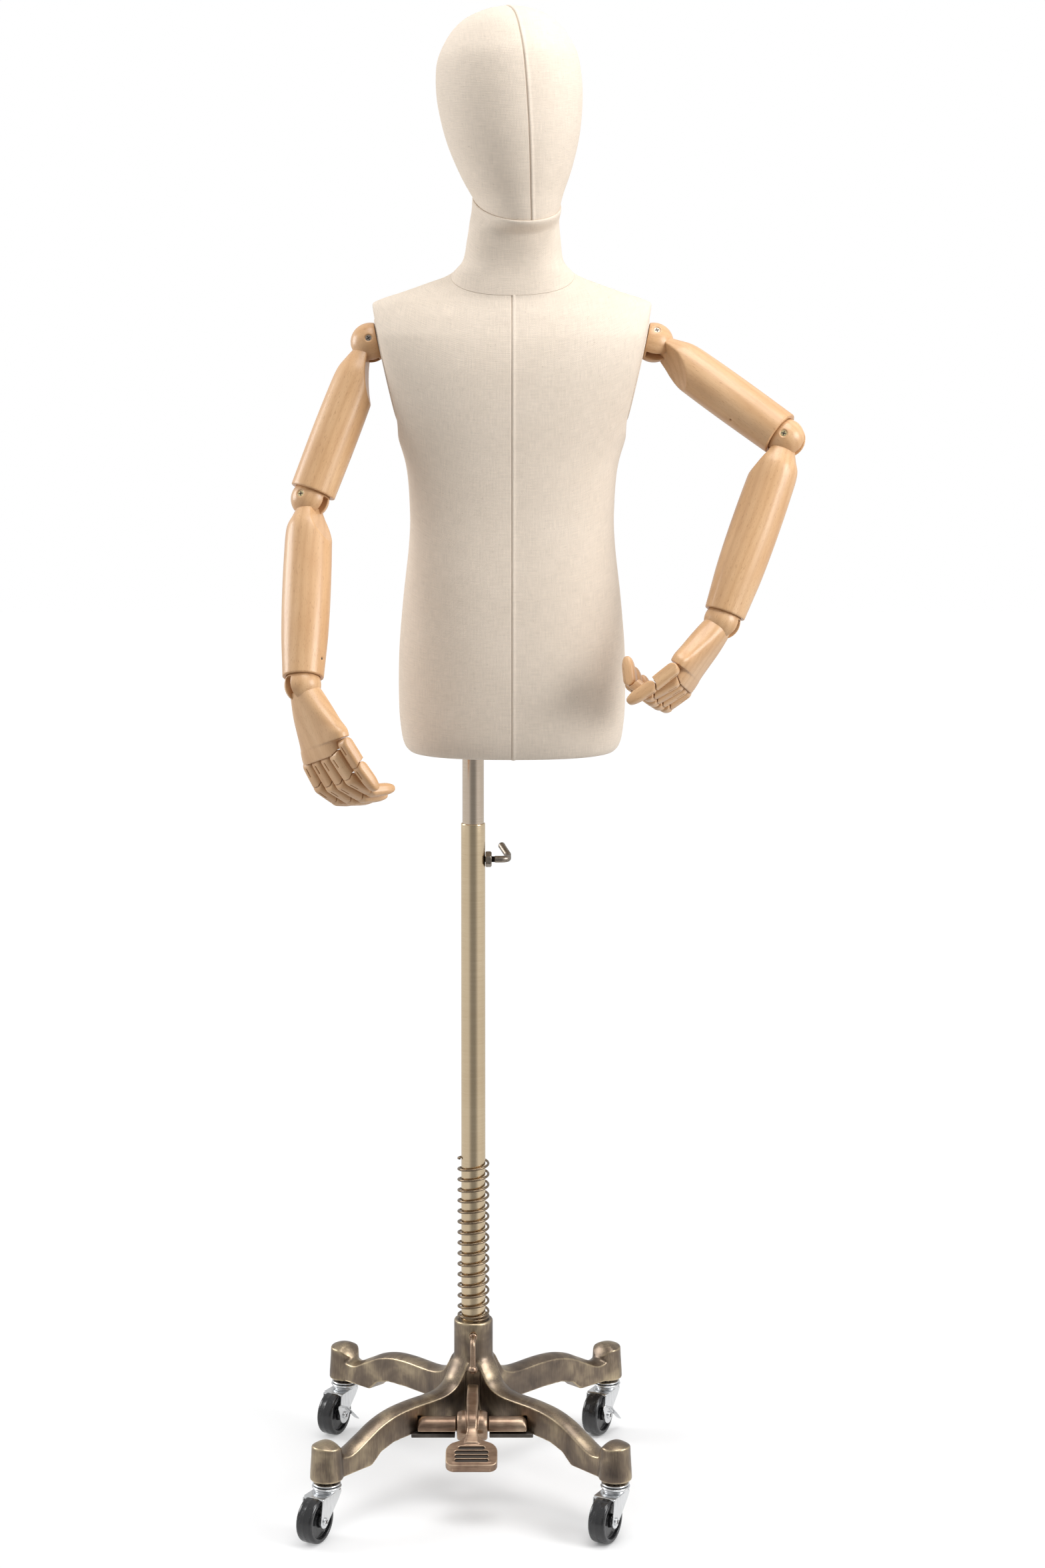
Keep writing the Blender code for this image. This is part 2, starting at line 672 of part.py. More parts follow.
def build_torso():
    trunk = body_shell(TORSO_STATIONS, (TORSO_SHIFT, TORSO_SHIFT), 2.35, 24)
    torso = add("torso", trunk, "linen", at_pole(), "inner_tube", 50)
    for side, word in ((-1, "right"), (1, "left")):
        frame = side_frame(side, SHOULDER_Z, FLAT_OUT)
        to_torso = FRAMES["torso"].inverted() @ frame
        down = sorted((-0.1 * side, FLAT_DOWN * side))
        slab = block((down[0], -0.3, 0.0), (down[1], 0.3, 0.3))
        slab.transform(to_torso)
        cut(torso, slab, f"side_{word}")
        pocket = prism(plate_outline(side, 0.0006), -PLATE_THICK - GAP, 0.01)
        pocket.transform(to_torso)
        cut(torso, pocket, f"plate_pocket_{word}")
        plate = prism(plate_outline(side, 0.0), -PLATE_THICK, 0.0)
        add(f"armhole_plate_{word}", plate, "linen", frame, "torso")
    cut(torso, half_space(TORSO_SHIFT, NECK_SEAM, True, -GAP / 2), "neck_seam")
    cut(torso, drill(INNER_RADIUS + GAP, 0.8, INNER_TOP + 0.003, 24), "pole_socket")

    throat = body_shell(NECK_STATIONS, (TORSO_SHIFT, HEAD_MIDDLE), 2.2, 20)
    neck = add("neck", throat, "linen", at_pole(), "torso", 50)
    cut(neck, half_space(TORSO_SHIFT, NECK_SEAM, False, GAP / 2), "neck_seam")
    cut(neck, half_space(HEAD_MIDDLE, HEAD_SEAM, True, -GAP / 2), "head_seam")

    up = slope_normal(HEAD_SEAM[1])
    seat = POLE + Vector((HEAD_MIDDLE, 0, HEAD_SEAM[0]))
    spigot = turned([(0, 0.0220), (0.0090, 0.0220), (0.0100, 0.0200), (0.0100, -0.010), (0, -0.010)], 16)
    spigot.transform(FRAMES["neck"].inverted() @ axes_frame(seat, up, (0, 1, 0)))
    join(neck, spigot, "spigot")

    head_frame = axes_frame(seat, up, (0, 1, 0)) @ Matrix.Rotation(HEAD_TURN, 4, "Z")
    egg = body_shell(HEAD_STATIONS, (0.0, 0.002), 2.1, 20)
    upright = Matrix.Translation(POLE + Vector((HEAD_MIDDLE, 0, 0)))
    turned_egg = axes_frame(seat, up, (0, 1, 0)).inverted() @ upright
    egg.transform(turned_egg)
    head = add("head", egg, "linen", head_frame, "neck", 50)
    cut(head, block((-0.3, -0.3, -0.3), (0.3, 0.3, GAP / 2)), "neck_seam")
    cut(head, turned([(0, 0.0225), (0.0104, 0.0225), (0.0104, -0.02), (0, -0.02)], 16), "spigot_bore")


# ---------------------------------------------------------------- arms

# which side each arm is on, and which way its upper arm, its forearm, its palm and its row of knuckles point
# at rest, the knuckles from the little finger to the index
ARM_POSES = {
    "right": (
        -1,
        (-0.343, -0.206, -0.917),
        (-0.010, -0.395, -0.919),
        (0.282, -0.156, -0.947),
        (0.588, -0.751, 0.299),
    ),
    "left": (
        1,
        (0.752, -0.352, -0.557),
        (-0.339, -0.207, -0.917),
        (-0.553, -0.113, -0.825),
        (-0.279, -0.908, 0.311),
    ),
}
# how far each finger bends at its three joints, in degrees, and the thumb at its two
FINGER_BENDS = {"right": (21, 31, 30), "left": (29, 66, 44)}
THUMB_BENDS = {"right": (19, 5), "left": (19, 5)}
# each finger's place along the row of knuckles, its size, and how much more than the others it bends
FINGERS = {
    "index": (1.5, 1.00, 0),
    "middle": (0.5, 1.05, -2),
    "ring": (-0.5, 1.00, -4),
    "little": (-1.5, 0.88, -7),
}


def limb(stations, power, sides):
    """A limb along -Z: distance from the joint, half width in X, half width in Y, and the middle's X."""
    return shell([oval(hx, hy, power, sides, (mid, 0), -d) for d, hx, hy, mid in stations])


def tongue(reach, wide):
    """A flat tongue about the pin at the origin, down to reach along -Z."""
    half = TONGUE_WIDTH / 2
    outline = arc((0, 0), PIN - 0.0005, 0, 180, 7) + [(-wide, -reach), (wide, -reach)]
    return prism(outline, -half, half, "y")


def joint_ball(radius):
    """A ball whose poles are on Y, the axis that the tongue in its slot turns about."""
    mesh = ball(radius, 16, 8)
    mesh.transform(Matrix.Rotation(math.pi / 2, 4, "X"))
    return mesh


def build_arm(word):
    side, upper, fore, palm, row = ARM_POSES[word]
    medial = -side
    upper, fore, palm, row = (Vector(v).normalized() for v in (upper, fore, palm, row))
    normal = Vector((side * math.cos(SIDE_LEAN), 0, -math.sin(SIDE_LEAN)))
    shoulder = POLE + Vector((TORSO_SHIFT + side * SHOULDER_OUT, 0, SHOULDER_Z))
    elbow = shoulder + upper * UPPER_LENGTH
    wrist = elbow + fore * FOREARM_LENGTH

    def backward(axis):
        axis = axis.normalized()
        return axis if axis.y > 0 else -axis

    shoulder_pin = backward(normal.cross(upper))
    elbow_pin = backward(upper.cross(fore))

    # the shoulder ball turns about the line out of the torso's side; its Z points out along it
    ball_frame = axes_frame(shoulder, normal, shoulder_pin)
    name = f"shoulder_ball_{word}"
    made = add(name, joint_ball(SHOULDER_RADIUS), "beech", ball_frame, f"armhole_plate_{word}")
    cut(made, block((-0.05, -0.05, -0.05), (0.05, 0.05, -0.0090)), "flat")
    cut(made, block((-0.05, -SLOT_HALF, -PIN), (0.05, SLOT_HALF, 0.05)), "slot")

    # upper arm, with its scooped shoulder towards the body and a cup for the elbow ball
    end = UPPER_LENGTH - 0.0085
    frame = axes_frame(shoulder, -upper, shoulder_pin)
    stations = [
        (0.0100, 0.0135, 0.0150, 0.0),
        (0.0250, 0.0195, 0.0200, 0.0),
        (0.0420, 0.0248, 0.0250, 0.0),
        (0.0700, 0.0263, 0.0262, 0.0),
        (0.1200, 0.0268, 0.0265, 0.0),
        (end - 0.0010, 0.0265, 0.0262, 0.0),
        (end, 0.0257, 0.0254, 0.0),
    ]
    arm = add(f"upper_arm_{word}", limb(stations, 2.0, 16), "beech", frame, name)
    scoop = rod((0, -0.06, 0), (0, 0.06, 0), 0.130, 40)
    scoop.transform(Matrix.Translation((medial * 0.1320, 0, 0.0070)))
    cut(arm, scoop, "scoop")
    cut(arm, ball(SHOULDER_RADIUS + 0.0008, 16, 8), "ball_seat")
    cut(arm, cup(ELBOW_RADIUS, UPPER_LENGTH), "elbow_cup")
    join(arm, tongue(0.0300, 0.0062), "tongue")

    # elbow ball: its dowel turns in the upper arm, its slot takes the forearm's tongue
    ball_frame = axes_frame(elbow, -upper, elbow_pin)
    name = f"elbow_ball_{word}"
    add_joint_ball(name, ELBOW_RADIUS, ball_frame, f"upper_arm_{word}")

    end = FOREARM_LENGTH - 0.0085
    frame = axes_frame(elbow, -fore, elbow_pin)
    stations = [
        (0.0110, 0.0140, 0.0150, 0.0),
        (0.0220, 0.0190, 0.0200, 0.0),
        (0.0360, 0.0255, 0.0250, 0.0),
        (0.0650, 0.0272, 0.0262, 0.0),
        (0.1150, 0.0276, 0.0265, 0.0),
        (0.1600, 0.0266, 0.0258, 0.0),
        (end - 0.0180, 0.0240, 0.0240, 0.0),
        (end, 0.0228, 0.0228, 0.0),
    ]
    arm = add(f"forearm_{word}", limb(stations, 2.0, 16), "beech", frame, name)
    scoop = rod((0, -0.06, 0), (0, 0.06, 0), 0.110, 36)
    scoop.transform(Matrix.Translation((medial * 0.1175, 0, 0.0080)))
    cut(arm, scoop, "scoop")
    cut(arm, ball(ELBOW_RADIUS + 0.0008, 16, 8), "ball_seat")
    cut(arm, cup(WRIST_RADIUS, FOREARM_LENGTH), "wrist_cup")
    join(arm, tongue(0.0300, 0.0062), "tongue")

    name = f"wrist_ball_{word}"
    add_joint_ball(name, WRIST_RADIUS, axes_frame(wrist, -fore, row), f"forearm_{word}")
    build_hand(word, axes_frame(wrist, -palm, row), name)


def cup(radius, length):
    """A hollow for a ball at the end of a limb, with the deeper hole for its dowel."""
    sides = 16
    top = radius + 0.0140
    hole = DOWEL + GAP
    seat = (radius + GAP) / math.cos(math.pi / sides)  # the hollow's flat facets stay clear of the ball
    bowl = [(seat * math.sin(a), seat * math.cos(a)) for a in (math.radians(x) for x in (24, 44, 64, 84))]
    profile = [(0, top), (hole, top), (hole, math.sqrt(seat**2 - hole**2))] + bowl
    profile += [(seat, -0.05), (0, -0.05)]
    return turned([(r, z - length) for r, z in profile], sides)


def add_joint_ball(name, radius, frame, parent):
    """A ball with a dowel up into the limb above and a slot below for the next limb's tongue."""
    made = add(name, joint_ball(radius), "beech", frame, parent)
    join(made, rod((0, 0, 0.010), (0, 0, radius + 0.0120), DOWEL, 8), "dowel")
    cut(made, block((-0.05, -SLOT_HALF, -0.05), (0.05, SLOT_HALF, PIN)), "slot")


# ---------------------------------------------------------------- hands


def hand_point(flip, palmar, across, along):
    """A point of a hand: towards the palm's face, towards the index finger, and away from the wrist."""
    return Vector((flip * palmar, across, -along))


def hand_ring(flip, along, across_low, across_high, back, front, power=2.8, sides=12):
    """A ring across a hand or finger, between its edges and between its back and its palm side."""
    mid = (flip * (front + back) / 2, (across_low + across_high) / 2)
    return oval((front - back) / 2, (across_high - across_low) / 2, power, sides, mid, -along)


def groove(flip, along, half_width):
    """A groove across the end of a piece for the next one's round end, open towards the palm."""
    radius, sides = FINGER_THICK / 2 + KNUCKLE_CLEAR, 14
    outline = arc((0, -along), radius / math.cos(math.pi / sides), 0, 360 - 360 / sides, sides)
    low, high = sorted((flip * 0.0020, flip * 0.0200))
    relief = block((low, -half_width, -along - 0.012), (high, half_width, -along + radius + 0.0006))
    return prism(outline, -half_width, half_width, "y"), relief


def build_hand(word, frame, parent):
    flip = 1 if word == "left" else -1
    length = PALM_LENGTH - 0.0025
    rings = [
        hand_ring(flip, 0.0060, -0.0170, 0.0180, -0.0150, 0.0150, 2.2),
        hand_ring(flip, 0.0140, -0.0195, 0.0215, -0.0155, 0.0165, 2.4),
        hand_ring(flip, 0.0320, -0.0255, 0.0300, -0.0145, 0.0170),
        hand_ring(flip, 0.0500, -0.0300, 0.0400, -0.0130, 0.0165),
        hand_ring(flip, 0.0620, -0.0325, 0.0490, -0.0120, 0.0155),
        hand_ring(flip, 0.0700, -0.0340, 0.0500, -0.0115, 0.0145),
        hand_ring(flip, 0.0702, -0.0340, 0.0370, -0.0110, 0.0110),
        hand_ring(flip, 0.0780, -0.0355, 0.0366, -0.0105, 0.0100),
        hand_ring(flip, length, -0.0365, 0.0365, -0.0095, 0.0085),
    ]
    palm = add(f"palm_{word}", shell(rings), "beech", frame, parent)
    cut(palm, ball(WRIST_RADIUS + 0.0008, 16, 8), "ball_seat")
    join(palm, tongue(0.0300, 0.0062), "tongue")
    for mesh, label in zip(groove(flip, PALM_LENGTH, 0.0600), ("groove", "relief")):
        cut(palm, mesh, label)

    for finger, (place, size, extra) in FINGERS.items():
        first, second, third = FINGER_BENDS[word]
        joint = frame @ Matrix.Translation(hand_point(flip, 0, place * FINGER_PITCH, PALM_LENGTH))
        lengths = [size * x for x in FINGER_LENGTHS]
        bends = (first + extra, second, third)
        build_finger(f"{finger}_finger_{word}", joint, flip, lengths, bends, FINGER_WIDTH, f"palm_{word}")

    root = frame @ Matrix.Translation(hand_point(flip, 0.0020, 0.0462, 0.0785))
    first, second = THUMB_BENDS[word]
    build_finger(f"thumb_{word}", root, flip, THUMB_LENGTHS, (first, second), 0.0150, f"palm_{word}")


def bend(flip, degrees):
    """A turn that takes what points along -Z towards the palm's face."""
    return Matrix.Rotation(-flip * math.radians(degrees), 4, "Y")


def phalanx(flip, length, width, thick, tip):
    """A length of finger along -Z, with a round end about the origin."""
    half, w = thick / 2, width / 2
    rings = []
    for a in (math.radians(20), math.radians(50), math.radians(80)):
        deep = half * math.sin(a)
        rings.append(hand_ring(flip, -half * math.cos(a), -w, w, -deep, deep, 2.6, 8))
    if tip:
        steps = ((0.4, 1.0, 0.96), (0.75, 0.9, 0.80), (0.93, 0.72, 0.55), (1.0, 0.42, 0.30))
    else:
        steps = ((0.5, 1.0, 1.0), (1.0, 0.98, 0.98))
    for share, wide, deep in steps:
        rings.append(
            hand_ring(flip, length * share, -w * wide, w * wide, -half * deep, half * deep, 2.6, 8)
        )
    return shell(rings)


def build_finger(name, joint, flip, lengths, bends, width, parent):
    """The first length turns in the palm; the rest is one piece that turns in the end of the first."""
    frame = joint @ bend(flip, bends[0])
    lengths = list(lengths)
    first = add(
        f"{name}_base", phalanx(flip, lengths[0] - 0.0020, width, FINGER_THICK, False), "beech", frame, parent
    )
    for mesh, label in zip(groove(flip, lengths[0], 0.0200), ("groove", "relief")):
        cut(first, mesh, label)
    frame = frame @ Matrix.Translation((0, 0, -lengths[0])) @ bend(flip, bends[1])
    last = len(lengths) == 2
    end = add(
        f"{name}_tip",
        phalanx(flip, lengths[1], width - 0.0006, FINGER_THICK - 0.0004, last),
        "beech",
        frame,
        f"{name}_base",
    )
    if not last:
        nail = phalanx(flip, lengths[2], width - 0.0010, FINGER_THICK - 0.0008, True)
        nail.transform(Matrix.Translation((0, 0, -lengths[1])) @ bend(flip, bends[2]))
        join(end, nail, "nail_end")


# ---------------------------------------------------------------- the whole object

build_base()
build_crossbar()
build_pedal()
build_hub_screw()
for corner, x, y, braked in (
    ("front_right", -LEG_REACH, -LEG_REACH, False),
    ("front_left", LEG_REACH, -LEG_REACH, False),
    ("rear_right", -LEG_REACH, LEG_REACH, True),
    ("rear_left", LEG_REACH, LEG_REACH, True),
):
    build_caster(corner, x, y, braked)
build_pole()
build_spring()
build_torso()
for word in ARM_POSES:
    build_arm(word)
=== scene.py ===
import json
import math

import bpy
import numpy as np
from mathutils import Matrix, Vector

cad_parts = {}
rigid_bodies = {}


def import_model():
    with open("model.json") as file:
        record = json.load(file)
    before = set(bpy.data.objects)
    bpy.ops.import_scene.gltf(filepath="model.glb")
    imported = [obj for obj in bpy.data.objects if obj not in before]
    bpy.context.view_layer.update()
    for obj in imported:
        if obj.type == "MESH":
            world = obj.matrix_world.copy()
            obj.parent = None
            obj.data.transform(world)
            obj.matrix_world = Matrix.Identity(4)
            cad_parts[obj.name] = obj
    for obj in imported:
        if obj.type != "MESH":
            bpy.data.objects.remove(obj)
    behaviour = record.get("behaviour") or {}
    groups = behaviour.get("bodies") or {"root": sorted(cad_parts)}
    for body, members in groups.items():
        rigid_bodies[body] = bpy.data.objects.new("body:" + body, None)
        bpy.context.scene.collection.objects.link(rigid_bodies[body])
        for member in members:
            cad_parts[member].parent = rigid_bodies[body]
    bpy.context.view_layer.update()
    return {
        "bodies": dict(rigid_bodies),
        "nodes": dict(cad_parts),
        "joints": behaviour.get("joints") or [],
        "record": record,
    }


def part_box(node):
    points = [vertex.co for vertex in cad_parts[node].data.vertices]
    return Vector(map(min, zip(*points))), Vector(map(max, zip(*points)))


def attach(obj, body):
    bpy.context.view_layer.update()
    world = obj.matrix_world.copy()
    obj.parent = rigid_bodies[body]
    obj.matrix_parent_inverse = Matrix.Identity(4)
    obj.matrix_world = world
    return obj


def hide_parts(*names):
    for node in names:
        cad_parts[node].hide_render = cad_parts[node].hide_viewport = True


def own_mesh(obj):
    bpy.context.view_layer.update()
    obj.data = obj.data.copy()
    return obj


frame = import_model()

JOINTS = {joint["name"]: joint for joint in frame["joints"]}


def spot(joint):
    """A joint's place in the frame."""
    return Vector(JOINTS[joint]["pos_m"])


def axis(joint):
    return Vector(JOINTS[joint]["axis"]).normalized()


def axes_frame(origin, up, back):
    """A frame at origin with Z along up and Y as near to back as it can be."""
    z = Vector(up).normalized()
    y = Vector(back)
    y = (y - z * y.dot(z)).normalized()
    made = Matrix((y.cross(z), y, z)).transposed().to_4x4()
    made.translation = origin
    return made


# ---------------------------------------------------------------- places and sizes, from the frame

POLE = (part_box("outer_tube")[0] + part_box("outer_tube")[1]) / 2
POLE.z = 0.0
MIDDLE = (spot("shoulder_turn_right").x + spot("shoulder_turn_left").x) / 2  # the torso's middle, along X
SHOULDER_Z = spot("shoulder_turn_left").z
SHOULDER_OUT = spot("shoulder_turn_left").x - MIDDLE
SIDE_NORMAL = {"right": axis("shoulder_turn_right"), "left": -axis("shoulder_turn_left")}
SIDE_LEAN = math.asin(abs(SIDE_NORMAL["left"].z))
FLAT_OUT = SHOULDER_OUT - 0.0093 / math.cos(SIDE_LEAN)  # the torso's flat side, at the shoulder's height
GAP = 0.0004

# ---------------------------------------------------------------- mesh helpers


def mesh_from(name, points, faces, uv=None):
    """A smooth mesh. uv has one pair for each point."""
    made = bpy.data.meshes.new(name)
    made.from_pydata([tuple(p) for p in points], [], [tuple(f) for f in faces])
    if uv is not None:
        layer = made.uv_layers.new(name="cloth")
        corners = np.zeros(len(made.loops), np.int32)
        made.loops.foreach_get("vertex_index", corners)
        layer.data.foreach_set("uv", np.asarray(uv, np.float32)[corners].ravel())
    made.shade_smooth()
    return made


def skin(rows, cap_start=True, cap_end=True, wrap=True):
    """Points and faces of a grid of rings, from an array of rings x sides x 3."""
    rows = np.asarray(rows, float)
    count, sides = rows.shape[:2]
    faces = []
    for i in range(count - 1):
        for j in range(sides if wrap else sides - 1):
            k = (j + 1) % sides
            faces.append((i * sides + j, i * sides + k, (i + 1) * sides + k, (i + 1) * sides + j))
    if cap_start:
        faces.append(tuple(range(sides))[::-1])
    if cap_end:
        faces.append(tuple((count - 1) * sides + j for j in range(sides)))
    return rows.reshape(-1, 3), faces


def stack(*shapes):
    """Several shapes as one, each of them points and faces."""
    points, faces, start = [], [], 0
    for these, those in shapes:
        points.append(np.asarray(these, float))
        faces += [tuple(i + start for i in face) for face in those]
        start += len(these)
    return np.concatenate(points), faces


def moved(shape, matrix):
    points = np.asarray(shape[0], float)
    turn = np.array(matrix.to_3x3())
    return points @ turn.T + np.array(matrix.translation), shape[1]


def curve_through(stations, count):
    """Values read off a smooth curve through the stations, evenly along its length (Catmull-Rom)."""
    p = np.asarray(stations, float)
    steps = np.linalg.norm(np.diff(p[:, :3], axis=0), axis=1)
    at = np.concatenate([[0], np.cumsum(np.sqrt(steps))])
    fine = np.linspace(0, at[-1], count * 8)
    slopes = np.zeros_like(p)
    slopes[1:-1] = (p[2:] - p[:-2]) / (at[2:] - at[:-2])[:, None]
    slopes[0] = (p[1] - p[0]) / (at[1] - at[0])
    slopes[-1] = (p[-1] - p[-2]) / (at[-1] - at[-2])
    i = np.clip(np.searchsorted(at, fine, side="right") - 1, 0, len(p) - 2)
    h = (at[i + 1] - at[i])[:, None]
    t = (fine - at[i])[:, None] / h
    value = (
        (2 * t**3 - 3 * t**2 + 1) * p[i]
        + (t**3 - 2 * t**2 + t) * h * slopes[i]
        + (3 * t**2 - 2 * t**3) * p[i + 1]
        + (t**3 - t**2) * h * slopes[i + 1]
    )
    length = np.concatenate([[0], np.cumsum(np.linalg.norm(np.diff(value[:, :3], axis=0), axis=1))])
    even = np.linspace(0, length[-1], count)
    return np.stack([np.interp(even, length, value[:, k]) for k in range(p.shape[1])], axis=1)


def oval(half_x, half_y, power, angles):
    """A superellipse at each angle: power 2 is an ellipse, more is squarer."""
    c, s = np.cos(angles), np.sin(angles)
    x = np.sign(c) * np.abs(c) ** (2 / power) * half_x
    y = np.sign(s) * np.abs(s) ** (2 / power) * half_y
    return x, y


def turned(profile, sides=64, closed=False):
    """A body of revolution about Z through points of (radius, height)."""
    a = np.linspace(0, 2 * math.pi, sides, endpoint=False)
    rows = [np.stack([r * np.cos(a), r * np.sin(a), np.full(sides, z)], axis=1) for r, z in profile]
    if closed:
        return skin(rows + rows[:1], False, False)
    return skin(rows)


def rounded(profile, radius, steps=4):
    """A profile whose corners are rounded off."""
    p = [np.array(q, float) for q in profile]
    out = [p[0]]
    for before, here, after in zip(p, p[1:], p[2:]):
        one, two = before - here, after - here
        size = min(radius, 0.45 * np.linalg.norm(one), 0.45 * np.linalg.norm(two))
        start = here + one / np.linalg.norm(one) * size
        end = here + two / np.linalg.norm(two) * size
        for k in range(steps + 1):
            t = k / steps
            out.append((1 - t) ** 2 * start + 2 * t * (1 - t) * here + t**2 * end)
    out.append(p[-1])
    return [tuple(q) for q in out]


def ball(radius, sides=48, rings=24):
    steps = np.linspace(0.0005, math.pi - 0.0005, rings + 1)
    return turned([(radius * math.sin(a), radius * math.cos(a)) for a in steps], sides)


def rod(start, end, radius, sides=32):
    start, end = Vector(start), Vector(end)
    way = end - start
    side = Vector((1, 0, 0)) if abs(way.normalized().x) < 0.9 else Vector((0, 1, 0))
    return moved(turned([(radius, 0), (radius, way.length)], sides), axes_frame(start, way, side))


def block(low, high):
    x0, y0, z0 = low
    x1, y1, z1 = high
    corners = [(x0, y0), (x1, y0), (x1, y1), (x0, y1)]
    return skin([[(x, y, z) for x, y in corners] for z in (z0, z1)])


def prism(outline, low, high, along="z"):
    """An outline extruded along an axis. It is drawn in (x, y), (y, z) for x, or (x, z) for y."""
    lay = {
        "z": lambda u, v, w: (u, v, w),
        "x": lambda u, v, w: (w, u, v),
        "y": lambda u, v, w: (u, w, v),
    }[along]
    points, faces = skin([[lay(u, v, w) for u, v in outline] for w in (low, high)])
    if along == "y":
        faces = [face[::-1] for face in faces]
    return points, faces


def arc(centre, radius, start, end, count):
    turn = [math.radians(start + (end - start) * k / (count - 1)) for k in range(count)]
    return [(centre[0] + radius * math.cos(a), centre[1] + radius * math.sin(a)) for a in turn]


def swept(path, radius, sides=16):
    """A round bar along a path. radius is one value, or one for each point."""
    path = np.asarray(path, float)
    radii = np.broadcast_to(radius, (len(path),))
    ways = np.gradient(path, axis=0)
    ways /= np.linalg.norm(ways, axis=1)[:, None]
    side = np.cross(ways[0], (0.3, 0.5, 0.8))
    a = np.linspace(0, 2 * math.pi, sides, endpoint=False)
    rows = []
    for point, way, r in zip(path, ways, radii):
        side = side - way * side.dot(way)
        side /= np.linalg.norm(side)
        other = np.cross(way, side)
        rows.append(point + r * (np.cos(a)[:, None] * side + np.sin(a)[:, None] * other))
    return skin(rows)


# ---------------------------------------------------------------- object helpers


def settle(thing):
    """Gives an object the mesh that its modifiers make, and drops them."""
    bpy.context.view_layer.update()
    shaped = bpy.data.meshes.new_from_object(thing.evaluated_get(bpy.context.evaluated_depsgraph_get()))
    thing.modifiers.clear()
    thing.data = shaped
    return thing


def loose(name, shape):
    """An object in no place yet, with its faces turned outwards by a remesh later."""
    thing = bpy.data.objects.new(name, mesh_from(name, *shape))
    bpy.context.scene.collection.objects.link(thing)
    return thing


def fused(name, shapes, voxel):
    """One closed skin round shapes that may run into each other."""
    thing = loose(name, stack(*shapes))
    change = thing.modifiers.new("skin", "REMESH")
    change.mode = "VOXEL"
    change.voxel_size = voxel
    return settle(thing)


def carved(thing, tools):
    """Cuts closed shapes away, one by one."""
    for k, tool in enumerate(tools):
        cutter = loose(f"{thing.name}_tool_{k}", tool)
        fix = cutter.modifiers.new("skin", "WELD")
        fix.merge_threshold = 0.000001
        settle(cutter)
        change = thing.modifiers.new("cut", "BOOLEAN")
        change.operation = "DIFFERENCE"
        change.solver = "MANIFOLD"
        change.object = cutter
        settle(thing)
        bpy.data.objects.remove(cutter)
    return thing


def softened(thing, voxel, rounds, factor=0.5):
    """Rounds every edge a little: a fresh even skin, then some smoothing."""
    change = thing.modifiers.new("skin", "REMESH")
    change.mode = "VOXEL"
    change.voxel_size = voxel
    change = thing.modifiers.new("soften", "SMOOTH")
    change.iterations = rounds
    change.factor = factor
    settle(thing)
    thing.data.shade_smooth()
    return thing


def show(thing, matrix, body, finish, slot_name, *nodes):
    """Puts a finished piece in its place, gives it its material, and hands it to its body."""
    thing.data.materials.clear()
    thing.data.materials.append(finish)
    thing.matrix_world = matrix
    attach(thing, body)
    if nodes:
        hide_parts(*nodes)
    return thing


def seeded(thing, value):
    """Stores a number on every point, which the wood grain reads so that no two pieces look alike."""
    layer = thing.data.attributes.new("grain_seed", "FLOAT", "POINT")
    layer.data.foreach_set("value", np.full(len(thing.data.vertices), value, np.float32))


# ---------------------------------------------------------------- materials


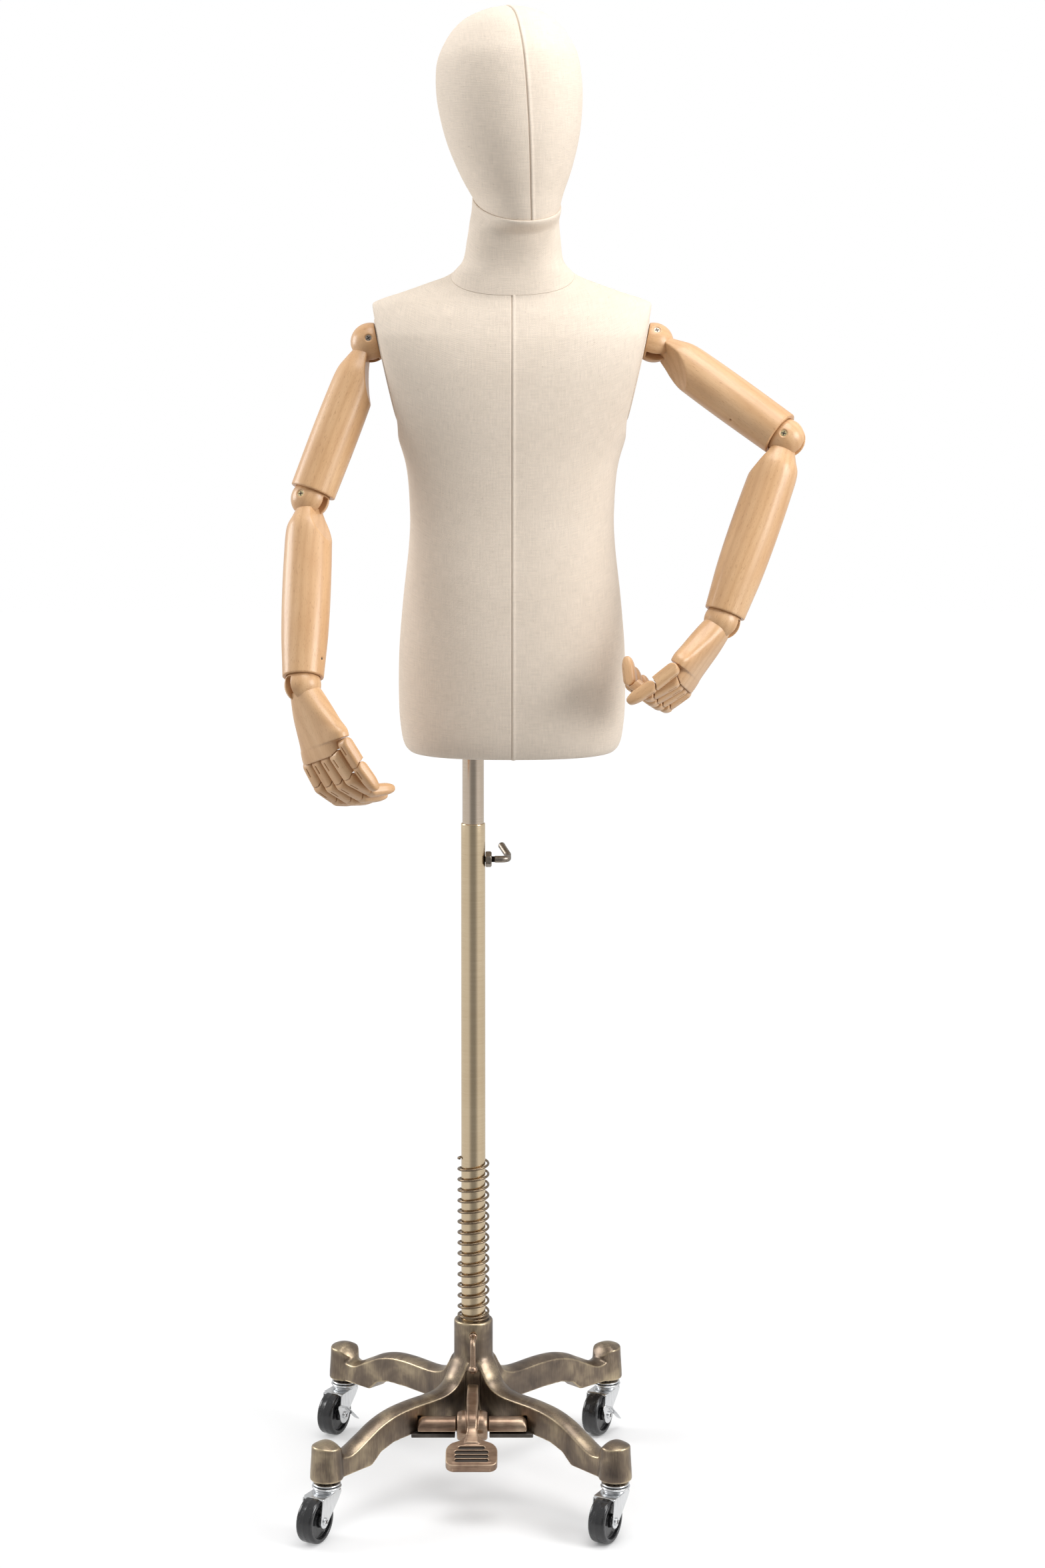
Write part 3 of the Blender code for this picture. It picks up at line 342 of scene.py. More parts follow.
class Paint:
    """A short way to write a material's node tree."""

    def __init__(self, name):
        self.material = bpy.data.materials.new(name)
        self.material.use_nodes = True
        self.tree = self.material.node_tree
        self.shader = self.tree.nodes["Principled BSDF"]

    def node(self, kind, **settings):
        made = self.tree.nodes.new(kind)
        for key, value in settings.items():
            setattr(made, key, value)
        return made

    def feed(self, source, node, socket):
        if isinstance(source, bpy.types.NodeSocket):
            self.tree.links.new(source, node.inputs[socket])
        else:
            node.inputs[socket].default_value = source

    def math(self, operation, a, b=0.0, c=0.0, clamp=False):
        made = self.node("ShaderNodeMath", operation=operation, use_clamp=clamp)
        for k, value in enumerate((a, b, c)):
            self.feed(value, made, k)
        return made.outputs[0]

    def noise(self, where, scale, detail=2.0, roughness=0.5, distortion=0.0):
        made = self.node("ShaderNodeTexNoise")
        self.feed(where, made, "Vector")
        for key, value in (
            ("Scale", scale),
            ("Detail", detail),
            ("Roughness", roughness),
            ("Distortion", distortion),
        ):
            made.inputs[key].default_value = value
        return made.outputs["Fac"]

    def stretched(self, where, scale, shift=(0, 0, 0)):
        made = self.node("ShaderNodeMapping")
        self.feed(where, made, "Vector")
        made.inputs["Scale"].default_value = scale
        self.feed(shift, made, "Location")
        return made.outputs[0]

    def object_place(self):
        return self.node("ShaderNodeTexCoord").outputs["Object"]

    def ramp(self, value, *stops):
        """Colours along a value, from (position, (r, g, b)) stops."""
        made = self.node("ShaderNodeValToRGB")
        self.feed(value, made, 0)
        elements = made.color_ramp.elements
        while len(elements) < len(stops):
            elements.new(0.5)
        for element, (position, colour) in zip(elements, stops):
            element.position = position
            element.color = (*colour, 1.0)
        return made.outputs["Color"]

    def spread(self, value, low, high, to_low, to_high):
        made = self.node("ShaderNodeMapRange")
        for key, v in zip((0, 1, 2, 3, 4), (value, low, high, to_low, to_high)):
            self.feed(v, made, key)
        return made.outputs[0]

    def mix(self, share, one, two, blend="MIX"):
        made = self.node("ShaderNodeMix", data_type="RGBA", blend_type=blend)
        self.feed(share, made, 0)
        for k, colour in ((6, one), (7, two)):
            self.feed(colour if isinstance(colour, bpy.types.NodeSocket) else (*colour, 1.0), made, k)
        return made.outputs[2]

    def bump(self, height, strength, distance, before=None):
        made = self.node("ShaderNodeBump")
        made.inputs["Strength"].default_value = strength
        made.inputs["Distance"].default_value = distance
        self.feed(height, made, "Height")
        if before is not None:
            self.feed(before, made, "Normal")
        return made.outputs[0]

    def finish(self, colour, roughness, normal=None, **fixed):
        self.feed(colour, self.shader, "Base Color")
        self.feed(roughness, self.shader, "Roughness")
        if normal is not None:
            self.feed(normal, self.shader, "Normal")
        for key, value in fixed.items():
            self.shader.inputs[key.replace("_", " ")].default_value = value
        return self.material


THREAD = 0.00095  # from one thread of the linen to the next


def linen():
    """Plain weave of uneven natural threads, with slubs, flecks, a faint cloudiness and painted shade between
    the threads.
    """
    p = Paint("linen")
    cloth = p.node("ShaderNodeUVMap", uv_map="cloth").outputs[0]
    wander = p.node("ShaderNodeTexNoise")
    p.feed(cloth, wander, "Vector")
    wander.inputs["Scale"].default_value = 90.0
    wander.inputs["Detail"].default_value = 2.0
    shift = p.node("ShaderNodeVectorMath", operation="MULTIPLY_ADD")
    p.feed(wander.outputs["Color"], shift, 0)
    shift.inputs[1].default_value = (0.0009, 0.0009, 0.0)
    p.feed(cloth, shift, 2)
    split = p.node("ShaderNodeSeparateXYZ")
    p.feed(shift.outputs[0], split, 0)
    across = p.math("MULTIPLY", split.outputs[0], 2 * math.pi / THREAD)
    along = p.math("MULTIPLY", split.outputs[1], 2 * math.pi / THREAD)
    half_across = p.math("MULTIPLY", across, 0.5)
    half_along = p.math("MULTIPLY", along, 0.5)
    # warp and weft pass over and under each other by turns
    over = p.math("MULTIPLY", p.math("SINE", half_across), p.math("SINE", half_along))
    warp = p.math("ABSOLUTE", p.math("COSINE", half_across))
    weft = p.math("ABSOLUTE", p.math("COSINE", half_along))
    threads = p.math("ADD", p.math("MULTIPLY", warp, 0.5), p.math("MULTIPLY", weft, 0.5))
    weave = p.math("MULTIPLY_ADD", over, 0.25, threads)
    slub_x = p.noise(p.stretched(cloth, (1100, 60, 1)), 1.0, 3.0, 0.6)
    slub_y = p.noise(p.stretched(cloth, (60, 1100, 1)), 1.0, 3.0, 0.6)
    slubs = p.math("MULTIPLY", p.math("ADD", slub_x, slub_y), 0.5)
    fuzz = p.noise(cloth, 1400.0, 3.0, 0.7)
    height = p.math("ADD", p.math("MULTIPLY", weave, 0.45), p.math("MULTIPLY", slubs, 0.9))
    height = p.math("MULTIPLY_ADD", fuzz, 0.5, height)
    clouds = p.noise(cloth, 7.0, 4.0, 0.6)
    base = p.ramp(clouds, (0.25, (0.765, 0.660, 0.548)), (0.75, (0.820, 0.714, 0.602)))
    shade = p.spread(slubs, 0.30, 0.70, 0.82, 1.10)
    # darker where the weave is low, between the threads: painted shade
    weave_gap_shade = p.spread(weave, 0.2, 1.1, 0.90, 1.04)
    grey = p.node("ShaderNodeCombineColor")
    tint = p.math("MULTIPLY", shade, weave_gap_shade)
    for k in range(3):
        p.feed(tint, grey, k)
    colour = p.mix(1.0, base, grey.outputs[0], "MULTIPLY")
    flecks = p.math("GREATER_THAN", p.noise(cloth, 520.0, 1.0), 0.735)
    colour = p.mix(p.math("MULTIPLY", flecks, 0.5), colour, (0.36, 0.27, 0.19))
    normal = p.bump(height, 0.55, 0.0006)
    rough = p.spread(fuzz, 0.3, 0.7, 0.84, 0.97)
    made = p.finish(colour, rough, normal, Sheen_Weight=0.15, Sheen_Roughness=0.5, Specular_IOR_Level=0.2)
    p.shader.inputs["Sheen Tint"].default_value = (0.95, 0.90, 0.84, 1.0)
    return made


def beech():
    """Lacquered beech: long soft grain, annual rings that surface as arches, and short flecks."""
    p = Paint("beech")
    seed = p.node("ShaderNodeAttribute", attribute_name="grain_seed").outputs["Fac"]
    shift = p.node("ShaderNodeCombineXYZ")
    for k, factor in enumerate((1.7, 2.9, 5.3)):
        p.feed(p.math("MULTIPLY", seed, factor), shift, k)
    where = p.node("ShaderNodeVectorMath", operation="ADD")
    p.feed(p.object_place(), where, 0)
    p.feed(shift.outputs[0], where, 1)
    where = where.outputs[0]
    # ring distance: the trunk's middle lies to one side of the piece and the rings wander along it
    bent = p.noise(p.stretched(where, (9, 9, 2.6)), 1.0, 2.0, 0.5)
    split = p.node("ShaderNodeSeparateXYZ")
    p.feed(where, split, 0)
    reach = p.math("MULTIPLY_ADD", split.outputs[1], 0.55, split.outputs[0])
    rings = p.math("SINE", p.math("MULTIPLY_ADD", bent, 34.0, p.math("MULTIPLY", reach, 620.0)))
    rings = p.spread(rings, -1.0, 1.0, 0.0, 1.0)
    rings = p.math("POWER", rings, 2.2)
    fibres = p.noise(p.stretched(where, (900, 900, 26)), 1.0, 3.0, 0.6)
    flecks = p.noise(p.stretched(where, (1500, 1500, 190)), 1.0, 1.0, 0.5)
    clouds = p.noise(p.stretched(where, (26, 26, 9)), 1.0, 3.0, 0.6)
    base = p.ramp(
        clouds,
        (0.25, (0.600, 0.345, 0.165)),
        (0.50, (0.675, 0.415, 0.215)),
        (0.75, (0.745, 0.490, 0.275)),
    )
    colour = p.mix(p.math("MULTIPLY", rings, 0.30), base, (0.49, 0.255, 0.110))
    colour = p.mix(p.spread(fibres, 0.35, 0.70, 0.0, 0.28), colour, (0.52, 0.285, 0.130))
    short = p.spread(flecks, 0.62, 0.74, 0.0, 0.55)
    colour = p.mix(short, colour, (0.36, 0.170, 0.070))
    normal = p.bump(p.math("ADD", fibres, p.math("MULTIPLY", short, -0.6)), 0.10, 0.0003)
    rough = p.spread(fibres, 0.3, 0.7, 0.36, 0.48)
    return p.finish(colour, rough, normal, Coat_Weight=0.35, Coat_Roughness=0.22, Specular_IOR_Level=0.45)


def antique(name, dark, middle, bright, streak, rub, rough):
    """Plated metal, toned dark and brushed back: brighter where an edge is rubbed, streaky on the flats."""
    p = Paint(name)
    where = p.object_place()
    streaks = p.noise(p.stretched(where, streak), 1.0, 4.0, 0.65)
    patches = p.noise(where, 26.0, 3.0, 0.55, 0.4)
    fine = p.noise(where, 900.0, 2.0, 0.6)
    edge = p.node("ShaderNodeNewGeometry").outputs["Pointiness"]
    rubbed = p.spread(edge, 0.505, 0.56, 0.0, rub)
    tone = p.math("ADD", p.math("MULTIPLY", streaks, 0.30), p.math("MULTIPLY", patches, 0.85))
    tone = p.math("ADD", tone, rubbed)
    colour = p.ramp(tone, (0.36, dark), (0.58, middle), (0.84, bright))
    normal = p.bump(streaks, 0.06, 0.0003)
    normal = p.bump(fine, 0.05, 0.0002, normal)
    roughness = p.spread(streaks, 0.3, 0.7, rough - 0.06, rough + 0.10)
    return p.finish(colour, roughness, normal, Metallic=1.0)


def plated(name, colour_low, colour_high, rough, streak=(30, 30, 1400), strength=0.05):
    """Satin plating on a tube or a wire, with faint lines left by the polishing."""
    p = Paint(name)
    where = p.object_place()
    lines = p.noise(p.stretched(where, streak), 1.0, 2.0, 0.6)
    clouds = p.noise(where, 14.0, 2.0)
    tone = p.math("ADD", p.math("MULTIPLY", lines, 0.5), p.math("MULTIPLY", clouds, 0.5))
    colour = p.ramp(tone, (0.35, colour_low), (0.65, colour_high))
    return p.finish(
        colour,
        p.spread(lines, 0.3, 0.7, rough - 0.04, rough + 0.06),
        p.bump(lines, strength, 0.0002),
        Metallic=1.0,
    )


def plastic(name, colour, worn, rough):
    """Moulded plastic with a little dust and scuffing where it rolls."""
    p = Paint(name)
    where = p.object_place()
    scuffs = p.noise(p.stretched(where, (60, 320, 320)), 1.0, 4.0, 0.7)
    dust = p.spread(scuffs, 0.58, 0.80, 0.0, 0.8)
    return p.finish(
        p.mix(dust, colour, worn),
        p.spread(scuffs, 0.45, 0.8, rough, rough + 0.25),
        p.bump(scuffs, 0.08, 0.0003),
        Coat_Weight=0.3,
        Coat_Roughness=0.15,
    )


LINEN = linen()
BEECH = beech()
BRONZE = antique(
    "antique_bronze", (0.104, 0.084, 0.072), (0.212, 0.165, 0.124), (0.520, 0.420, 0.280), (800, 800, 60),
    0.50, 0.34
)
PEDAL_BRONZE = antique(
    "pedal_bronze", (0.150, 0.095, 0.068), (0.300, 0.205, 0.145), (0.560, 0.420, 0.300), (60, 700, 700),
    0.45, 0.34
)
POLE_BRASS = plated("pole_brass", (0.70, 0.55, 0.36), (0.78, 0.63, 0.43), 0.21)
TUBE_SILVER = plated("inner_tube_brass", (0.62, 0.51, 0.40), (0.70, 0.59, 0.48), 0.21)
SPRING_BRASS = plated("spring_brass", (0.17, 0.125, 0.085), (0.29, 0.22, 0.15), 0.30, (500, 500, 500), 0.08)
AGED_STEEL = plated("aged_steel", (0.20, 0.17, 0.14), (0.42, 0.36, 0.30), 0.34, (500, 500, 500), 0.10)
ZINC = plated("bright_zinc", (0.62, 0.63, 0.64), (0.80, 0.81, 0.82), 0.20, (90, 400, 90), 0.06)
BLACK = plastic("wheel_black", (0.012, 0.012, 0.013), (0.090, 0.090, 0.092), 0.16)
# a dark fill set into slots, holes and screw recesses: painted shade where these hollows fall in shadow
PAINTED_SHADE = plastic("slot_dark", (0.030, 0.020, 0.014), (0.060, 0.042, 0.030), 0.70)
SCREW_BRASS = plated("screw_brass", (0.62, 0.48, 0.24), (0.80, 0.66, 0.38), 0.22, (500, 500, 500), 0.06)


# ---------------------------------------------------------------- linen body

# heights, half widths, half depths and how far back the middle sits
TORSO = [
    (0.8505, 0.1120, 0.0800, 0.004),
    (0.8525, 0.1180, 0.0860, 0.004),
    (0.8600, 0.1240, 0.0920, 0.004),
    (0.8750, 0.1277, 0.0965, 0.004),
    (0.9060, 0.1304, 0.0990, 0.004),
    (0.9680, 0.1300, 0.0985, 0.002),
    (1.0300, 0.1250, 0.0935, -0.001),
    (1.0910, 0.1184, 0.0870, -0.003),
    (1.1300, 0.1174, 0.0850, -0.003),
    (1.1840, 0.1226, 0.0880, -0.001),
    (1.2310, 0.1400, 0.0930, 0.002),
    (1.2620, 0.1520, 0.0950, 0.004),
    (1.2930, 0.1620, 0.0940, 0.005),
    (1.3220, 0.1680, 0.0890, 0.006),
    (1.3480, 0.1700, 0.0790, 0.007),
    (1.3640, 0.1660, 0.0700, 0.008),
    (1.3725, 0.1500, 0.0650, 0.008),
    (1.3800, 0.1270, 0.0640, 0.008),
    (1.3900, 0.0990, 0.0630, 0.007),
    (1.4010, 0.0720, 0.0600, 0.005),
    (1.4160, 0.0580, 0.0575, 0.003),
    (1.4600, 0.0520, 0.0560, -0.002),
]
NECK = [
    (1.3700, 0.0860, 0.0680, 0.009),
    (1.3850, 0.0770, 0.0645, 0.007),
    (1.4010, 0.0700, 0.0600, 0.005),
    (1.4160, 0.0580, 0.0575, 0.003),
    (1.4400, 0.0538, 0.0565, 0.000),
    (1.4650, 0.0510, 0.0560, -0.003),
    (1.5300, 0.0480, 0.0550, -0.007),
]
HEAD = [
    (1.4400, 0.0330, 0.0500, -0.022),
    (1.4600, 0.0400, 0.0580, -0.020),
    (1.4760, 0.0455, 0.0640, -0.017),
    (1.4880, 0.0500, 0.0690, -0.014),
    (1.5160, 0.0624, 0.0800, -0.009),
    (1.5530, 0.0745, 0.0915, -0.003),
    (1.5900, 0.0812, 0.0975, 0.002),
    (1.6180, 0.0828, 0.0990, 0.005),
    (1.6460, 0.0802, 0.0960, 0.007),
    (1.6640, 0.0732, 0.0880, 0.008),
    (1.6830, 0.0605, 0.0735, 0.008),
    (1.6950, 0.0465, 0.0575, 0.008),
    (1.7030, 0.0280, 0.0350, 0.008),
    (1.7066, 0.0120, 0.0150, 0.008),
    (1.7075, 0.0010, 0.0012, 0.008),
]
NECK_SEAM = (1.4010, 0.46)  # the plane where the neck meets the torso: its height at the pole, and its slope
HEAD_SEAM = (spot("head_turn").z, -axis("head_turn").y / axis("head_turn").z)
HEAD_MIDDLE = spot("head_turn").x
HEAD_SEAT = axes_frame(spot("head_turn"), axis("head_turn"), (0, 1, 0))
# it looks a little aside
HEAD_PLACE = HEAD_SEAT @ Matrix.Rotation(math.radians(12), 4, "Z") @ HEAD_SEAT.inverted()
TORSO_POWERS = [(1.330, 2.35), (1.365, 1.85), (1.400, 1.85), (1.430, 2.2)]


def seam_angles(count, close):
    """Angles round a body, closer together at the front and back seams, starting at the back."""
    t = np.linspace(0, 2 * math.pi, count, endpoint=False)
    return t - close * np.sin(2 * t) / 2 + math.pi / 2


def plane_height(seam, y):
    return seam[0] + seam[1] * y


def body_rows(stations, powers, angles, rows, middles):
    """Rings about the pole's place, from the lowest station up. powers are (height, squareness) pairs."""
    values = curve_through(stations, rows)
    share = (values[:, 0] - values[0, 0]) / (values[-1, 0] - values[0, 0])
    out = []
    for (z, half_x, half_y, back), t in zip(values, share):
        x, y = oval(half_x, half_y, np.interp(z, *zip(*powers)), angles)
        middle = middles[0] + (middles[1] - middles[0]) * t
        out.append(np.stack([x + middle, y + back, np.full(len(angles), z)], axis=1))
    return np.array(out)


def clipped(rows, seam, above):
    """Slides every column's points along it so that it ends on the seam plane."""
    count = len(rows)
    out = rows.copy()
    for j in range(rows.shape[1]):
        column = rows[:, j]
        past = column[:, 2] - plane_height(seam, column[:, 1])
        if not above:
            column, past = column[::-1], -past[::-1]
        k = int(np.argmax(past > 0))
        share = -past[k - 1] / (past[k] - past[k - 1])
        end = k - 1 + share
        at = np.linspace(0, end, count)
        fresh = np.stack([np.interp(at, np.arange(count), column[:, c]) for c in range(3)], axis=1)
        out[:, j] = fresh if above else fresh[::-1]
    return out


def met(rows, ring, seam, reach, size=1.0):
    """Draws a body's last rows to a ring on the seam plane, so that the bodies either side of it meet."""
    middle = ring.mean(axis=0)
    place = (ring - middle)[:, :2]
    turn = np.arctan2(place[:, 1], place[:, 0])
    order = np.argsort(turn)
    end = rows[-1] - middle
    at = np.arctan2(end[:, 1], end[:, 0])
    far = np.interp(at, turn[order], np.linalg.norm(place, axis=1)[order] * size, period=2 * math.pi)
    x, y = middle[0] + far * np.cos(at), middle[1] + far * np.sin(at)
    pull = np.stack([x, y, plane_height(seam, y)], axis=1) - rows[-1]
    steps = np.linalg.norm(np.diff(rows, axis=0), axis=2)
    left = np.concatenate([np.cumsum(steps[::-1], axis=0)[::-1], np.zeros((1, rows.shape[1]))])
    share = np.clip(1 - left / reach, 0, 1)
    return rows + pull * (share**2 * (3 - 2 * share))[:, :, None]


def outward(rows):
    """Each point's direction out of the surface."""
    ring = np.roll(rows, -1, axis=1) - np.roll(rows, 1, axis=1)
    way = np.cross(ring, np.gradient(rows, axis=0))
    return way / np.maximum(np.linalg.norm(way, axis=2), 1e-12)[:, :, None]


def seam_line(rows, column, side=1, ridge=0.0007, width=0.0034, groove=0.0014, line=0.0007):
    """Raises a seam's folded edge on one side of a column, beside the stitch line that pulls the cloth in."""
    spread = np.linalg.norm(np.roll(rows, -1, axis=1) - rows, axis=2)
    place = np.concatenate([np.zeros((len(rows), 1)), np.cumsum(spread, axis=1)[:, :-1]], axis=1)
    length = spread.sum(axis=1)[:, None]
    away = place - place[:, column][:, None]
    away = (away + length / 2) % np.maximum(length, 1e-9) - length / 2
    fold = ridge * np.exp(-(((away - side * width * 0.6) / (width * 0.6)) ** 2))
    pull = groove * np.exp(-((away / line) ** 2))
    return rows + outward(rows) * (fold - pull)[:, :, None]


def turned_in(rows, radius=0.0014, steps=4, inwards=1):
    """Rolls the cloth in behind its last row, so that the seam there shows as a crease."""
    out = outward(rows)[-1] * inwards
    way = rows[-1] - rows[-2]
    way /= np.linalg.norm(way, axis=1)[:, None]
    extra = []
    for k in range(1, steps + 1):
        a = math.pi / 2 * k / steps
        extra.append(rows[-1] + way * radius * math.sin(a) - out * radius * (1 - math.cos(a)))
    extra.append(extra[-1] - out * 0.0050)
    return np.concatenate([rows, extra])


def cloth(name, rows, seam_column):
    """A closed piece whose cloth map measures metres along the cloth: round from a seam, and up."""
    count, sides = rows.shape[:2]
    points, faces = skin(rows)
    ring = np.concatenate([rows, rows[:, :1]], axis=1)
    around = np.linalg.norm(np.diff(ring, axis=1), axis=2)
    around = np.concatenate([np.zeros((count, 1)), np.cumsum(around, axis=1)], axis=1)
    around -= around[:, seam_column][:, None]
    up = np.linalg.norm(np.diff(rows, axis=0), axis=2).mean(axis=1)
    up = np.broadcast_to(np.concatenate([[0], np.cumsum(up)])[:, None], around.shape)
    grid = np.stack([around, up], axis=2)
    corners = np.stack([grid[:-1, :-1], grid[:-1, 1:], grid[1:, 1:], grid[1:, :-1]], axis=2)
    ends = np.concatenate([rows[0][::-1, :2], rows[-1][:, :2]])
    made = mesh_from(name, points, faces)
    layer = made.uv_layers.new(name="cloth")
    layer.data.foreach_set("uv", np.concatenate([corners.reshape(-1, 2), ends]).astype(np.float32).ravel())
    thing = bpy.data.objects.new(name, made)
    bpy.context.scene.collection.objects.link(thing)
    return thing


FLAT_SOFT = 0.0045  # how softly the side's flat meets the front and the back
FLAT_SUNK = 0.0014  # the arm plate stands this proud of the flat
FLAT_END = 0.0850  # below the shoulder, where the flat starts to flow out into the side
FLAT_FLOW = 9.5


def flattened(rows):
    """Presses the torso's sides flat where the arm plates are."""
    for side, word in ((-1, "right"), (1, "left")):
        normal = np.array(SIDE_NORMAL[word])
        face = np.array((MIDDLE - POLE.x + side * (FLAT_OUT - FLAT_SUNK), 0.0, SHOULDER_Z))
        beyond = (rows - face) @ normal
        below = np.maximum(0, SHOULDER_Z - FLAT_END - rows[:, :, 2])
        beyond = beyond - FLAT_FLOW * below**2
        push = (beyond + np.sqrt(beyond**2 + FLAT_SOFT**2)) / 2
        rows = rows - normal * push[:, :, None]
    return rows


def build_torso():
    angles = seam_angles(288, 0.93)
    middle = MIDDLE - POLE.x
    rows = body_rows(TORSO, TORSO_POWERS, angles, 260, (middle, middle))
    rows = clipped(flattened(rows), NECK_SEAM, True)
    rows = met(rows, neck_rows(angles)[0], NECK_SEAM, 0.045)
    front = len(angles) // 2
    rows = seam_line(rows, front)
    rows = seam_line(rows, 0, side=-1)
    rows = turned_in(rows)
    # the underside, with the socket that the pole goes up into
    hole = OUTER_TUBE_RADIUS
    socket = np.stack([hole * np.cos(angles), hole * np.sin(angles), np.zeros(len(angles))], axis=1)
    rim = rows[0]
    under = [rim + (socket + (0, 0, rim[0, 2]) - rim) * t for t in np.linspace(0, 1, 14)[1:]]
    socket = under[-1] + (0, 0, 0.020)
    rows = np.concatenate([[socket], under[::-1], rows]) + np.array(POLE)
    show(cloth("torso_cover", rows, front), Matrix.Identity(4), "torso", LINEN, "linen", "torso")


def neck_rows(angles):
    rows = body_rows(NECK, [(0, 2.2)], angles, 130, (MIDDLE - POLE.x, HEAD_MIDDLE - POLE.x))
    low = (NECK_SEAM[0] + GAP, NECK_SEAM[1])
    high = (HEAD_SEAM[0] - GAP, HEAD_SEAM[1])
    return clipped(clipped(rows, low, False), high, True)


def head_rows(angles):
    middle = HEAD_MIDDLE - POLE.x
    rows = body_rows(HEAD, [(0, 2.1)], angles, 220, (middle, middle + 0.002))
    return clipped(rows, (HEAD_SEAM[0] + 0.0016, HEAD_SEAM[1]), False)


def build_neck():
    angles = seam_angles(200, 0.90)
    high = (HEAD_SEAM[0] - GAP, HEAD_SEAM[1])
    turn = np.array(HEAD_PLACE.to_3x3())
    head_ring = (
        head_rows(angles)[0] + np.array(POLE)
    ) @ turn.T + np.array(HEAD_PLACE.translation) - np.array(POLE)
    rows = met(neck_rows(angles), head_ring, high, 0.022, 1.03)
    rows = seam_line(rows, 0, side=-1)
    rows = turned_in(rows) + np.array(POLE)
    show(cloth("neck_cover", rows, len(angles) // 2), Matrix.Identity(4), "torso", LINEN, "linen", "neck")


def build_head():
    angles = seam_angles(260, 0.93)
    rows = head_rows(angles)
    front = len(angles) // 2
    rows = seam_line(rows, front, side=1, ridge=0.0009, groove=0.0017)
    rows = seam_line(rows, 0, side=-1)
    rows = turned_in(rows[::-1], inwards=-1)[::-1] + np.array(POLE)
    show(cloth("head_cover", rows, front), HEAD_PLACE, "head", LINEN, "linen", "head")


def build_plates():
    """The oval plates let into the torso's sides, each under its own piece of linen."""
    for side, word in ((-1, "right"), (1, "left")):
        out = SIDE_NORMAL[word]
        place = Vector((MIDDLE + side * FLAT_OUT, POLE.y, SHOULDER_Z))
        seat = axes_frame(place, out, (0, 1, 0))
        a = np.linspace(0, 2 * math.pi, 160, endpoint=False)
        steps = [(1.0, -0.0040), (1.0, -0.0016)]
        steps += [
            (1.0 - 0.0016 * (1 - math.cos(t)) / 0.033, -0.0016 + 0.0013 * math.sin(t))
            for t in (0.5, 1.0, 1.57)
        ]
        steps += [(share, -0.0003) for share in (0.90, 0.75, 0.5, 0.25, 0.02)]
        rows = []
        for share, z in steps:
            x = 0.0320 * side + 0.0600 * share * np.cos(a)
            y = 0.004 + 0.0330 * share * np.sin(a)
            rows.append(np.stack([x, y, np.full(len(a), z)], axis=1))
        thing = cloth(f"arm_plate_{word}_cover", np.array(rows), 0)
        flat = thing.data.uv_layers["cloth"]
        co = np.zeros(len(thing.data.vertices) * 3)
        thing.data.vertices.foreach_get("co", co)
        corner = np.zeros(len(thing.data.loops), np.int32)
        thing.data.loops.foreach_get("vertex_index", corner)
        flat.data.foreach_set("uv", co.reshape(-1, 3)[corner][:, [1, 0]].astype(np.float32).ravel())
        show(thing, seat, "torso", LINEN, "linen", f"armhole_plate_{word}")


OUTER_TUBE_RADIUS = (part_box("outer_tube")[1].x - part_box("outer_tube")[0].x) / 2

build_torso()
build_neck()
build_head()
build_plates()


# ---------------------------------------------------------------- arms

SHOULDER_RADIUS, ELBOW_RADIUS, WRIST_RADIUS = 0.0230, 0.0220, 0.0205
TONGUE_WIDTH, PIN, DOWEL = 0.0090, 0.0065, 0.0050
SLOT_HALF = TONGUE_WIDTH / 2 + GAP
LIMB_VOXEL, BALL_VOXEL, FINGER_VOXEL = 0.0009, 0.0008, 0.0005
SIDES = {"right": -1, "left": 1}


def inlaid(thing, shape, finish):
    """Adds a small part of another material to a piece."""
    points, faces = shape
    extra = loose(f"{thing.name}_inlay", (points, faces))
    fix = extra.modifiers.new("skin", "WELD")
    fix.merge_threshold = 0.000001
    settle(extra)
    extra.data.materials.append(finish)
    extra.data.polygons.foreach_set("use_smooth", [False] * len(extra.data.polygons))
    thing.data.materials.append(finish)
    bpy.ops.object.select_all(action="DESELECT")
    extra.matrix_world = thing.matrix_world.copy()
    extra.select_set(True)
    thing.select_set(True)
    bpy.context.view_layer.objects.active = thing
    bpy.ops.object.join()


def wooden(thing, matrix, body, *nodes):
    show(thing, matrix, body, BEECH, "beech", *nodes)
    seeded(thing, 0.37 * (1 + len(thing.name)) + 0.113 * sum(map(ord, thing.name)) % 7.0)
    return thing


def limb(stations):
    """A turned limb along -Z, from (distance, half width, half depth) stations."""
    a = np.linspace(0, 2 * math.pi, 96, endpoint=False)
    rows = []
    for d, x, y in curve_through(stations, 120):
        rows.append(np.stack([x * np.cos(a), y * np.sin(a), np.full(len(a), -d)], axis=1))
    return skin(np.array(rows)[::-1])


def tongue(reach, wide):
    half = TONGUE_WIDTH / 2
    outline = arc((0, 0), PIN - 0.0005, 0, 180, 15) + [(-wide, -reach), (wide, -reach)]
    return prism(outline, -half, half, "y")


def cup(radius, length):
    """What is hollowed out of a limb's end for the next ball, and for its dowel."""
    seat = radius + GAP
    bowl = [(seat * math.sin(t), seat * math.cos(t)) for t in np.linspace(0.27, 1.5, 20)]
    profile = [
        (0.0001, radius + 0.0140), (DOWEL + GAP, radius + 0.0140)
    ] + bowl + [(seat, -0.05), (0.0001, -0.05)]
    return turned([(r, z - length) for r, z in profile][::-1], 72)


